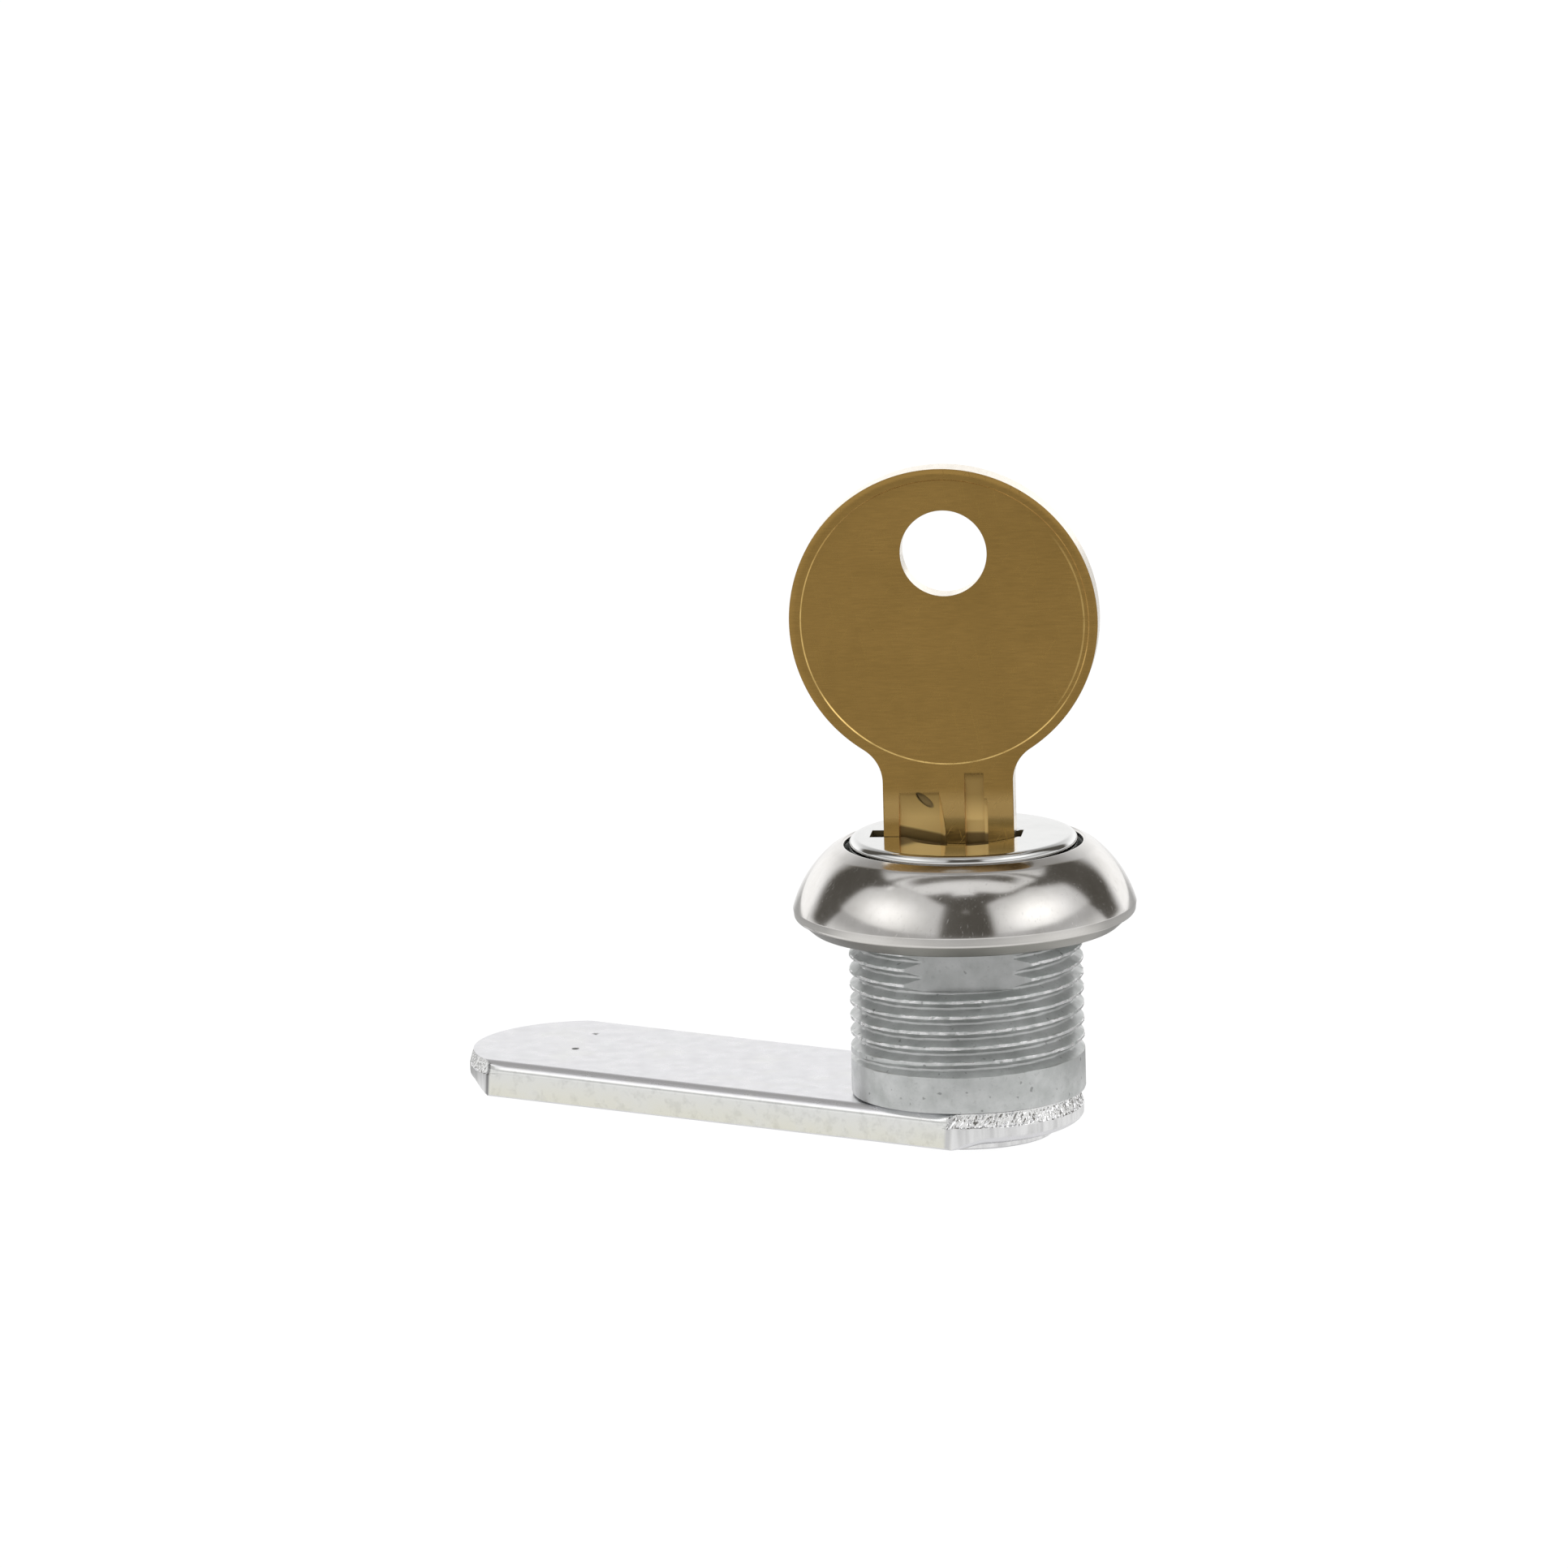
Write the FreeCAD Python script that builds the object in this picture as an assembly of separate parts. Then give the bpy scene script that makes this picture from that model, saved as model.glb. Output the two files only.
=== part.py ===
import FreeCAD, Part
import math
import os

from FreeCAD import Vector

# Cam lock with its key in the plug, in millimetres.
# The origin is the centre of the barrel's rear face, +Z points out of the key side,
# and +Y is square to one of the barrel's two flats.

# Barrel of the housing
barrel_dia = 19.05
barrel_length = 13.7
across_flats = 15.875
flat_length = 3.8
rear_chamfer = 0.25

# Thread of the barrel, cut by one V-groove wound up it, right-handed
thread_pitch = 1.27
thread_depth = 0.75
thread_crest = 0.2
thread_start = 3.45
thread_start_angle = 240.0
thread_flank_angle = 30.0

# Bezel, a polished sheet cap crimped over the housing's head
bezel_dia = 27.9
bezel_height = 7.05
bezel_base_dia = 25.0
bezel_skirt_height = 1.2
bezel_skirt_inset = 0.1
bezel_widest_height = 1.75
bezel_shoulder_drop = 0.27
bezel_dome_radius = 9.8
bezel_rim_gap = 0.43
bezel_rim_width = 0.5
bezel_rim_radius = 0.2
bezel_sheet = 0.5
crimp_dia = 21.4
crimp_gap = 0.03

# Plug, the cylinder that the key turns
plug_dia = 12.7
running_gap = 0.05
plug_head_depth = 3.15
head_clearance = 0.33
key_clocking = -6.0

# Sheet cap on the front of the plug
cap_dia = 18.54
cap_proud = 0.45
cap_sheet = 0.45
cap_edge_radius = 0.6
cap_skirt = 2.75
cap_gap = 0.03
dish_dia = 9.5
dish_depth = 0.65
slot_width = 12.5
slot_thickness = 2.65
slot_offset = -1.35

# Stop lug under the plug's head, and its arc-shaped pocket in the housing
quarter_turn = 90.0
lug_height = 1.2
lug_reach = 1.6
lug_angle = 30.0
lug_place_angle = 20.0
lug_gap = 0.15
stop_gap_angle = 0.6

# Key
key_thickness = 2.4
bow_dia = 25.4
bow_height = 17.6
coin_dia = 23.5
coin_depth = 0.1
ring_hole_dia = 7.06
ring_hole_offset = 5.6
neck_width = 10.65
neck_offset = -1.25
neck_fillet = 3.2
neck_seat_depth = 1.5
seat_gap = 0.02
spine_side = -4.95
blade_width = 7.6
tip_height = 3.8
tip_bevel = 1.6
first_cut = 0.4
cut_drop = 0.4
cut_flat = 1.2
wide_groove_left = -4.1
wide_groove_right = -0.65
wide_groove_start = 4.1
wide_groove_run = 3.4
narrow_groove_left = 1.5
narrow_groove_right = 3.0
narrow_groove_start = 6.3
groove_depth = 0.6
keyway_gap = 0.1
keyway_floor_gap = 0.3

# Wafers, counted from the plug's face inwards, and the spring beside each
wafer_count = 5
wafer_pitch = 2.4
last_wafer_height = 5.3
wafer_thickness = 1.1
wafer_width = 5.4
wafer_gap = 0.06
wafer_shrink = 0.05
wafer_travel = 0.9
window_gap = 0.12
ear_width = 1.7
ear_length = 1.2
ear_place = -1.5
spring_dia = 1.6
spring_wire = 0.25
spring_turns = 6
spring_length = 3.3
pocket_gap = 0.1
groove_clearance = 0.15

# Retainer, the sprung plate that keeps the plug in the housing
retainer_height = 2.15
retainer_width = 3.0
retainer_reach = 0.5
retainer_length = 5.85

# Cam, with the square that drives it, its washer and its screw
cam_width = 17.58
cam_thickness = 2.95
cam_reach = 46.8
cam_corner_reach = 41.1
cam_pivot_radius = 9.35
cam_top_edge_radius = 0.95
cam_bottom_edge_radius = 0.3
cam_angle = 147.3
cam_gap = 0.1
drive_square = 7.4
drive_gap = 0.05
square_set_back = 0.1
washer_dia = 13.8
washer_thickness = 0.5
screw_dia = 4.8
screw_head_dia = 11.0
screw_head_rim = 0.15
screw_head_dome = 0.65
screw_reach = 0.6
screw_hole_gap = 0.03
screw_hole_depth_gap = 0.25

# Diameters of the bezel that follow from the plug's cap
bezel_rim_dia = cap_dia + 2 * bezel_rim_gap
bezel_shoulder_dia = bezel_rim_dia + 2 * bezel_rim_width

# Heights worked out from the sizes above
bezel_base = barrel_length
bezel_top = bezel_base + bezel_height
face = bezel_top + cap_proud
head_floor = face - plug_head_depth - running_gap
neck_seat = face - neck_seat_depth
bow_centre = face + bow_height
hole_centre = bow_centre + ring_hole_offset
cam_top = -cam_gap
cam_bottom = cam_top - cam_thickness
washer_bottom = cam_bottom - washer_thickness

# Radii and places worked out from the sizes above
plug_radius = plug_dia / 2
bore_radius = plug_radius + running_gap
wafer_radius = plug_radius - wafer_shrink
counterbore_radius = cap_dia / 2 + head_clearance
cut_side = spine_side + blade_width
wafer_heights = [last_wafer_height + wafer_pitch * n for n in reversed(range(wafer_count))]
cut_roots = [cut_side - first_cut - cut_drop * n for n in range(wafer_count)]
spring_place = wafer_width / 2 + ear_width - spring_dia / 2 - pocket_gap / 2
spring_start = ear_place + ear_length
OVERRUN = 1.0


def at(radius, height):
    """A point of a profile that will be turned about the lock's axis."""
    return Vector(radius, 0, height)


def line(start, end):
    return Part.LineSegment(start, end).toShape()


def arc(start, through, end):
    return Part.Arc(start, through, end).toShape()


def bulging_arc(start, end, radius, away_from):
    """The short arc of a given radius between two points, bulging away from a third."""
    middle = (start + end) * 0.5
    chord = end - start
    across = chord.cross(Vector(0, 1, 0)).normalize()
    if (middle - away_from).dot(across) < 0:
        across = across * -1
    half = chord.Length / 2
    sag = radius - math.sqrt(radius * radius - half * half)
    return arc(start, middle + across * sag, end)


def turned(edges):
    """The solid that a closed profile makes when it is turned about the lock's axis."""
    return Part.Face(Part.Wire(edges)).revolve(Vector(), Vector(0, 0, 1), 360)


def cylinder(radius, low, high):
    return Part.makeCylinder(radius, high - low, Vector(0, 0, low))


def box(low, high):
    size = high - low
    return Part.makeBox(size.x, size.y, size.z, low)


def flat_outline(points, low, height):
    """A straight-sided plate, from plan points."""
    corners = [Vector(x, y, low) for x, y in points]
    return Part.Face(Part.makePolygon(corners + corners[:1])).extrude(Vector(0, 0, height))


def sector(radius, low, high, middle, span):
    """A wedge of a cylinder, given by its middle direction and its angle."""
    wedge = Part.makeCylinder(radius, high - low, Vector(0, 0, low), Vector(0, 0, 1), span)
    return wedge.rotate(Vector(), Vector(0, 0, 1), middle - span / 2)


def clocked(shape, angle=key_clocking):
    """The shape turned about the lock's axis, from its own directions to the housing's."""
    return shape.copy().rotate(Vector(), Vector(0, 0, 1), angle)


def bezel_outline():
    """The bezel's outer face, from the crimped edge up over the dome to the rim."""
    base = at(bezel_base_dia / 2, bezel_base)
    skirt = at(bezel_dia / 2 - bezel_skirt_inset, bezel_base + bezel_skirt_height)
    widest = at(bezel_dia / 2, bezel_base + bezel_widest_height)
    shoulder = at(bezel_shoulder_dia / 2, bezel_top - bezel_shoulder_drop)
    rim = at(bezel_rim_dia / 2, bezel_top)
    return [
        line(base, skirt),
        line(skirt, widest),
        bulging_arc(widest, shoulder, bezel_dome_radius, at(0, bezel_base)),
        line(shoulder, rim),
        line(rim, at(0, bezel_top)),
        line(at(0, bezel_top), at(0, bezel_base)),
        line(at(0, bezel_base), base),
    ]


def bezel_filling(inset):
    """The space inside the bezel's outer face, drawn in by a wall."""
    section = Part.Face(Part.Wire(bezel_outline()))
    inner = section.makeOffset2D(-inset)
    solid = inner.revolve(Vector(), Vector(0, 0, 1), 360)
    return solid.fuse(cylinder(crimp_dia / 2 - inset, bezel_base + inset, bezel_top - inset))


def bezel():
    shell = turned(bezel_outline())
    shell = shell.cut(bezel_filling(bezel_sheet))
    shell = shell.cut(cylinder(bezel_rim_dia / 2, bezel_base + bezel_height / 2, bezel_top + OVERRUN))
    shell = shell.cut(cylinder(crimp_dia / 2, bezel_base - OVERRUN, bezel_base + bezel_height / 2))
    rim = [edge for edge in shell.Edges if edge.BoundBox.ZMin > bezel_top - bezel_rim_radius / 2]
    return shell.makeFillet(bezel_rim_radius, [min(rim, key=lambda edge: edge.BoundBox.XLength)])


def thread_groove():
    """The V-groove of the thread, wound up the barrel and on past its top."""
    radius = barrel_dia / 2
    slope = math.tan(math.radians(thread_flank_angle))
    over = thread_crest / 2
    half = (thread_pitch - thread_crest) / 2
    wide = half + over * slope
    narrow = half - thread_depth * slope
    points = [
        at(radius + over, wide),
        at(radius - thread_depth, narrow),
        at(radius - thread_depth, -narrow),
        at(radius + over, -wide),
    ]
    path = Part.makeHelix(thread_pitch, barrel_length + thread_pitch - thread_start, radius)
    groove = path.makePipeShell([Part.makePolygon(points + points[:1])], True, True)
    return clocked(groove.translate(Vector(0, 0, thread_start)), thread_start_angle)


def barrel():
    """The threaded barrel up to the bezel's base, with its bore and its two flats."""
    blank = cylinder(barrel_dia / 2, 0, barrel_length + 3 * thread_pitch)
    rear_edge = [edge for edge in blank.Edges if edge.BoundBox.ZMax < rear_chamfer / 2]
    blank = blank.makeChamfer(rear_chamfer, rear_edge)
    blank = blank.cut(thread_groove())
    blank = blank.cut(cylinder(bore_radius, -OVERRUN, bezel_top))
    blank = blank.common(cylinder(barrel_dia, 0, bezel_base))
    low = Vector(-barrel_dia, across_flats / 2, bezel_base - flat_length)
    slab = box(low, Vector(barrel_dia, barrel_dia, bezel_top))
    return blank.cut(slab).cut(clocked(slab, 180))


def housing():
    head = bezel_filling(bezel_sheet + crimp_gap)
    head = head.fuse(cylinder(crimp_dia / 2 - crimp_gap, bezel_base, bezel_base + bezel_sheet * 2))
    head = head.cut(cylinder(counterbore_radius, head_floor, bezel_top + OVERRUN))
    head = head.cut(cylinder(bore_radius, 0, bezel_top))
    body = head.cut(stop_pocket()).removeSplitter().fuse(barrel())
    for angle in (0, -quarter_turn):
        body = body.cut(clocked(wafer_groove(), key_clocking + angle))
    return body.cut(retainer_groove())


def stop_pocket():
    """The arc-shaped pocket that the plug's lug swings in, a quarter turn long."""
    span = lug_angle + quarter_turn + 2 * stop_gap_angle
    middle = key_clocking + lug_place_angle - quarter_turn / 2
    radius = plug_radius + lug_reach + lug_gap
    low = head_floor - lug_height - lug_gap
    return sector(radius, low, head_floor + OVERRUN, middle, span)


def wafer_groove():
    """The channel in the bore that the wafers spring out into when the key is away."""
    depth = wafer_radius + wafer_travel + groove_clearance
    half = wafer_width / 2 + groove_clearance
    low = last_wafer_height - wafer_thickness / 2 - groove_clearance
    slab = box(Vector(-2 * depth, -half, low), Vector(0, half, head_floor + OVERRUN))
    return slab.common(cylinder(depth, low, head_floor + OVERRUN))


def retainer_groove():
    """The ring in the bore that the retainer's nose runs in."""
    half = wafer_thickness / 2 + groove_clearance
    radius = plug_radius + retainer_reach + groove_clearance
    return cylinder(radius, retainer_height - half, retainer_height + half)


def cap_filling(inset):
    """The space inside the plug cap's outer face, drawn in by a wall."""
    sphere = (dish_dia * dish_dia / 4 + dish_depth * dish_depth) / (2 * dish_depth) + inset
    top = face - inset
    edge = cap_edge_radius - inset
    side = cap_dia / 2 - inset
    dish = math.sqrt(dish_depth * (2 * sphere - dish_depth))
    bottom = at(0, top - dish_depth)
    halfway = dish / 2
    low = face - plug_head_depth
    fall = sphere - math.sqrt(sphere * sphere - halfway * halfway)
    slant = edge * math.sqrt(0.5)
    return turned([
        arc(bottom, at(halfway, top - dish_depth + fall), at(dish, top)),
        line(at(dish, top), at(side - edge, top)),
        arc(at(side - edge, top), at(side - edge + slant, top - edge + slant), at(side, top - edge)),
        line(at(side, top - edge), at(side, low)),
        line(at(side, low), at(0, low)),
        line(at(0, low), bottom),
    ])


def key_slot(low):
    """The slot in the plug's face that the key's neck goes into."""
    left = slot_offset - slot_width / 2
    half = slot_thickness / 2
    return box(Vector(left, -half, low), Vector(left + slot_width, half, face + OVERRUN))


def plug_cap():
    cap = cap_filling(0).cut(cap_filling(cap_sheet))
    cap = cap.cut(cylinder(cap_dia, 0, face - cap_skirt))
    return clocked(cap.cut(key_slot(0)))


def blade_outline(clearance, low):
    """The keyway's or the key blade's section, as plan points, with its two wards or grooves."""
    half = key_thickness / 2 + clearance
    ward = key_thickness / 2 - groove_depth + clearance
    left = spine_side - clearance
    wide_end = neck_offset + wide_groove_right + clearance
    narrow_start = neck_offset + narrow_groove_left - clearance
    narrow_end = neck_offset + narrow_groove_right + clearance
    right = cut_side + clearance
    return [
        (left, half),
        (left, -ward),
        (wide_end - 2 * clearance, -ward),
        (wide_end - 2 * clearance, -half),
        (narrow_start + 2 * clearance, -half),
        (narrow_start + 2 * clearance, -ward),
        (narrow_end - 2 * clearance, -ward),
        (narrow_end - 2 * clearance, -half),
        (right, -half),
        (right, half),
    ]


def keyway():
    low = tip_height - keyway_floor_gap
    return flat_outline(blade_outline(keyway_gap, low), low, neck_seat - low)


def plug():
    body = cylinder(plug_radius, cam_top, face - plug_head_depth + running_gap)
    body = body.fuse(cap_filling(cap_sheet + cap_gap))
    lug_low = face - plug_head_depth - lug_height
    lug = sector(plug_radius + lug_reach, lug_low, face - plug_head_depth, lug_place_angle, lug_angle)
    body = body.fuse(lug)
    body = body.cut(key_slot(neck_seat))
    body = body.cut(keyway())
    for height in wafer_heights:
        body = body.cut(wafer_slot(height))
    body = body.cut(retainer_slot())
    body = clocked(body)
    side = drive_square / 2
    low = cam_bottom + square_set_back
    square = box(Vector(-side, -side, low), Vector(side, side, cam_top + running_gap))
    body = body.fuse(clocked(square, cam_angle))
    depth = screw_reach + screw_hole_depth_gap
    body = body.cut(cylinder(screw_dia / 2 + screw_hole_gap, low - OVERRUN, depth))
    return body.removeSplitter()


def wafer_slot(height):
    """The slot across the plug for one wafer, with the pocket for its ear and its spring."""
    half = wafer_width / 2 + wafer_gap
    thick = wafer_thickness / 2 + wafer_gap
    slot = box(Vector(-plug_dia, -half, height - thick), Vector(plug_dia, half, height + thick))
    ear_low = Vector(ear_place - wafer_travel - pocket_gap, 0, height - thick)
    ear_high = Vector(spring_start + pocket_gap, half + ear_width, height + thick)
    slot = slot.fuse(box(ear_low, ear_high))
    seat = Vector(spring_start, spring_place, height)
    radius = spring_dia / 2 + pocket_gap
    return slot.fuse(Part.makeCylinder(radius, spring_length, seat, Vector(1, 0, 0)))


def wafer(height, cut_root):
    """A brass plate with a window for the blade and an ear for its spring."""
    low = height - wafer_thickness / 2
    high = height + wafer_thickness / 2
    half = wafer_width / 2
    plate = cylinder(wafer_radius, low, high)
    plate = plate.common(box(Vector(-plug_dia, -half, low), Vector(plug_dia, half, high)))
    ear = box(Vector(ear_place, 0, low), Vector(spring_start, half + ear_width - wafer_gap, high))
    plate = plate.fuse(ear)
    gap = slot_thickness / 2
    left = Vector(spine_side - keyway_gap, -gap, low - OVERRUN)
    right = Vector(cut_root + window_gap, gap, high + OVERRUN)
    return clocked(plate.cut(box(left, right)).removeSplitter())


def coil(length):
    """A small compression spring along +Z from the origin."""
    wire = spring_wire / 2
    radius = spring_dia / 2 - wire
    rise = length - spring_wire
    path = Part.makeHelix(rise / spring_turns, rise, radius)
    section = Part.Wire(Part.makeCircle(wire, Vector(radius, 0, 0), Vector(0, 1, 0)))
    spring = Part.Wire(path.Edges).makePipeShell([section], True, True)
    return spring.translate(Vector(0, 0, wire))


def wafer_spring(height):
    spring = coil(spring_length)
    spring.rotate(Vector(), Vector(0, 1, 0), 90)
    return clocked(spring.translate(Vector(spring_start, spring_place, height)))


def retainer_slot():
    """The slot for the retainer plate, and the blind hole behind it for its spring."""
    thick = wafer_thickness / 2 + wafer_gap
    half = retainer_width / 2 + wafer_gap
    inner = plug_radius + retainer_reach - retainer_length
    slot = box(
        Vector(-half, inner, retainer_height - thick),
        Vector(half, plug_dia, retainer_height + thick),
    )
    seat = Vector(0, inner, retainer_height)
    radius = spring_dia / 2 + pocket_gap / 2
    return slot.fuse(Part.makeCylinder(radius, spring_length, seat, Vector(0, -1, 0)))


def retainer():
    half = retainer_width / 2
    outer = plug_radius + retainer_reach
    plate = box(
        Vector(-half, outer - retainer_length, retainer_height - wafer_thickness / 2),
        Vector(half, outer, retainer_height + wafer_thickness / 2),
    )
    return clocked(plate.common(cylinder(outer, 0, 2 * retainer_height)))


def retainer_spring():
    spring = coil(spring_length)
    spring.rotate(Vector(), Vector(1, 0, 0), 90)
    inner = plug_radius + retainer_reach - retainer_length
    return clocked(spring.translate(Vector(0, inner, retainer_height)))


def key_side(x, z):
    """A point on the key's flat, in the plug's own directions."""
    return Vector(x, 0, z)


def bow_outline():
    """The round bow, the two hollow curves into the neck, and the neck down to its seat."""
    left = neck_offset - neck_width / 2
    right = neck_offset + neck_width / 2
    bow = bow_dia / 2
    reach = neck_width / 2 + neck_fillet
    fillet_height = bow_centre - math.sqrt((bow + neck_fillet) ** 2 - reach ** 2)
    slope = math.atan2(bow_centre - fillet_height, reach)
    low = neck_seat + seat_gap
    edges = []
    tangents = []
    for side in (-1, 1):
        centre = key_side(neck_offset + side * reach, fillet_height)
        tangent = centre + Vector(-side * math.cos(slope), 0, math.sin(slope)) * neck_fillet
        middle = centre + Vector(-side * math.cos(slope / 2), 0, math.sin(slope / 2)) * neck_fillet
        start = key_side(left if side < 0 else right, fillet_height)
        edges += [arc(start, middle, tangent), line(key_side(start.x, low), start)]
        tangents.append(tangent)
    edges.append(arc(tangents[0], key_side(neck_offset, bow_centre + bow), tangents[1]))
    edges.append(line(key_side(left, low), key_side(right, low)))
    return Part.Wire(Part.__sortEdges__(edges))


def blade():
    """The blade below the neck: spine on one side, stepped cuts on the other, bevelled tip."""
    low = tip_height
    top = neck_seat + seat_gap
    points = [(cut_side, top)]
    side = cut_side
    for height, root in zip(wafer_heights, cut_roots):
        points.append((side, height + cut_flat / 2 + side - root))
        points.append((root, height + cut_flat / 2))
        side = root
    points.append((side, wafer_heights[-1] - cut_flat / 2))
    points.append((side - tip_bevel / 2, low))
    points.append((spine_side + tip_bevel, low))
    points.append((spine_side, low + tip_bevel))
    points.append((spine_side, top))
    corners = [key_side(x, z) for x, z in points]
    side_view = Part.Face(Part.makePolygon(corners + corners[:1]))
    side_view.translate(Vector(0, -key_thickness, 0))
    profile = side_view.extrude(Vector(0, 2 * key_thickness, 0))
    section = flat_outline(blade_outline(0, low), low - OVERRUN, top - low + OVERRUN)
    return profile.common(section)


def neck_grooves():
    """The two milled grooves where they run out up the neck."""
    front = -key_thickness / 2
    left = neck_offset + wide_groove_left
    right = neck_offset + wide_groove_right
    low = neck_seat - OVERRUN
    fade = face + wide_groove_start
    full = fade - wide_groove_run
    ramp = [
        Vector(left, front, fade),
        Vector(left, front + groove_depth, full),
        Vector(left, front + groove_depth, low),
        Vector(left, front - OVERRUN, low),
        Vector(left, front - OVERRUN, fade),
    ]
    wide = Part.Face(Part.makePolygon(ramp + ramp[:1])).extrude(Vector(right - left, 0, 0))
    narrow = box(
        Vector(neck_offset + narrow_groove_left, front - OVERRUN, low),
        Vector(neck_offset + narrow_groove_right, front + groove_depth, face + narrow_groove_start),
    )
    return wide.fuse(narrow)


def key():
    back = Part.Face(bow_outline())
    back.translate(Vector(0, key_thickness / 2, 0))
    body = back.extrude(Vector(0, -key_thickness, 0))
    centre = Vector(neck_offset, 0, bow_centre)
    for side in (-1, 1):
        outer = centre + Vector(0, side * key_thickness / 2, 0)
        coin = Part.makeCylinder(coin_dia / 2, coin_depth, outer, Vector(0, -side, 0))
        body = body.cut(coin)
    through = Vector(neck_offset, -key_thickness, hole_centre)
    body = body.cut(Part.makeCylinder(ring_hole_dia / 2, 2 * key_thickness, through, Vector(0, 1, 0)))
    body = body.cut(neck_grooves())
    return clocked(body.fuse(blade()).removeSplitter())


def cam():
    """The flat bar, with its long edges rounded more above than below, sheared ends and a square hole."""
    half = cam_width / 2
    back = -math.sqrt(cam_pivot_radius ** 2 - half ** 2)
    edges = [
        line(at_plan(back, half), at_plan(cam_corner_reach, half)),
        arc(at_plan(cam_corner_reach, half), at_plan(cam_reach, 0), at_plan(cam_corner_reach, -half)),
        line(at_plan(cam_corner_reach, -half), at_plan(back, -half)),
        arc(at_plan(back, -half), at_plan(-cam_pivot_radius, 0), at_plan(back, half)),
    ]
    bar = Part.Face(Part.Wire(edges)).extrude(Vector(0, 0, cam_thickness))
    for height, radius in ((cam_top, cam_top_edge_radius), (cam_bottom, cam_bottom_edge_radius)):
        long_edges = [edge for edge in bar.Edges if edge.Length > cam_width]
        long_edges = [edge for edge in long_edges if abs(abs(edge.CenterOfMass.y) - half) < cam_gap]
        long_edges = [edge for edge in long_edges if abs(edge.CenterOfMass.z - height) < cam_gap]
        bar = bar.makeFillet(radius, long_edges)
    side = drive_square / 2 + drive_gap
    low = cam_bottom - OVERRUN
    hole = box(Vector(-side, -side, low), Vector(side, side, cam_top + OVERRUN))
    return clocked(bar.cut(hole), cam_angle)


def at_plan(x, y):
    return Vector(x, y, cam_bottom)


def cam_washer():
    ring = cylinder(washer_dia / 2, washer_bottom, cam_bottom)
    return ring.cut(cylinder(screw_dia / 2 + drive_gap, washer_bottom - OVERRUN, cam_top))


def cam_screw():
    """A low domed head under the washer, and a plain shank in the plug."""
    rim = washer_bottom - screw_head_rim
    low = rim - screw_head_dome
    radius = screw_head_dia / 2
    sphere = (radius ** 2 + screw_head_dome ** 2) / (2 * screw_head_dome)
    fall = sphere - math.sqrt(sphere ** 2 - radius ** 2 / 4)
    return turned([
        arc(at(0, low), at(radius / 2, low + fall), at(radius, rim)),
        line(at(radius, rim), at(radius, washer_bottom)),
        line(at(radius, washer_bottom), at(screw_dia / 2, washer_bottom)),
        line(at(screw_dia / 2, washer_bottom), at(screw_dia / 2, screw_reach)),
        line(at(screw_dia / 2, screw_reach), at(0, screw_reach)),
        line(at(0, screw_reach), at(0, low)),
    ])


def assembly():
    """Every node by name."""
    nodes = {
        "housing": housing(),
        "bezel": bezel(),
        "plug": plug(),
        "plug_cap": plug_cap(),
        "key": key(),
        "retainer": retainer(),
        "retainer_spring": retainer_spring(),
        "cam": cam(),
        "cam_washer": cam_washer(),
        "cam_screw": cam_screw(),
    }
    for number, (height, root) in enumerate(zip(wafer_heights, cut_roots), 1):
        nodes[f"wafer_{number}"] = wafer(height, root)
        nodes[f"wafer_spring_{number}"] = wafer_spring(height)
    return nodes


os.makedirs("parts", exist_ok=True)
for name, shape in assembly().items():
    shape.exportStep(f"parts/{name}.step")
    print(name, shape.isValid(), len(shape.Solids), round(shape.Volume, 2))
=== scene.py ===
import math

import bmesh
import bpy
from mathutils import Matrix, Vector, noise


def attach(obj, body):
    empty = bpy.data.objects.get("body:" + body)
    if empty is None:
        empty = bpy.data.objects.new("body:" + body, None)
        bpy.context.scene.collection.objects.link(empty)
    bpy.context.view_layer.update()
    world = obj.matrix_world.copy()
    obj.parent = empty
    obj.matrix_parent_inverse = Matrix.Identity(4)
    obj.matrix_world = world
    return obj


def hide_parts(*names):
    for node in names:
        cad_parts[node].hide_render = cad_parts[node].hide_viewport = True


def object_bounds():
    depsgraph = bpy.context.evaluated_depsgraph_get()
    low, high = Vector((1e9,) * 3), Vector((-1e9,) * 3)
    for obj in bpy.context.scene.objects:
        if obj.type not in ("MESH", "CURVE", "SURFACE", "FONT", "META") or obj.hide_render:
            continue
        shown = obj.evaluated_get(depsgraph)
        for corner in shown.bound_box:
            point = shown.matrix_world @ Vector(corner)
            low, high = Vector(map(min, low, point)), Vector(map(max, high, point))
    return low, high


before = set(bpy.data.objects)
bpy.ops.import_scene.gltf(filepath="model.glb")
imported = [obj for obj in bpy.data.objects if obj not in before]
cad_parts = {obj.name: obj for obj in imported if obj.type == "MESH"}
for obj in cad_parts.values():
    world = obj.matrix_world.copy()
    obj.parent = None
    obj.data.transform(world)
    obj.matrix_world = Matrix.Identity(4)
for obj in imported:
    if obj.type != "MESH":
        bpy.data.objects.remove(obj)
CAD_BOX = [list(corner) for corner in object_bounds()]

MM = 0.001
UP = (0.0, 0.0, 1.0)

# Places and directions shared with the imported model
KEY_CLOCKING = math.radians(-6.0)
CAM_DIRECTION = math.radians(147.3)
FLOOR = CAD_BOX[0][2]

# Barrel and thread, in millimetres
BARREL_RADIUS = 9.525
BARREL_LENGTH = 13.7
BORE_RADIUS = 6.4
FLAT_DISTANCE = 7.9375
FLAT_START = 9.9
THREAD_START = 3.45
THREAD_ANGLE = 240.0
THREAD_PITCH = 1.27
THREAD_DEPTH = 0.75
THREAD_CREST = 0.2
THREAD_SLOPE = math.tan(math.radians(30))
COUNTERBORE_RADIUS = 9.6
HEAD_FLOOR = 18.0

# The thread's groove deepens between these two angles along its helix, in degrees
THREAD_RUN_OUT = (-110.0, 30.0)

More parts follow.
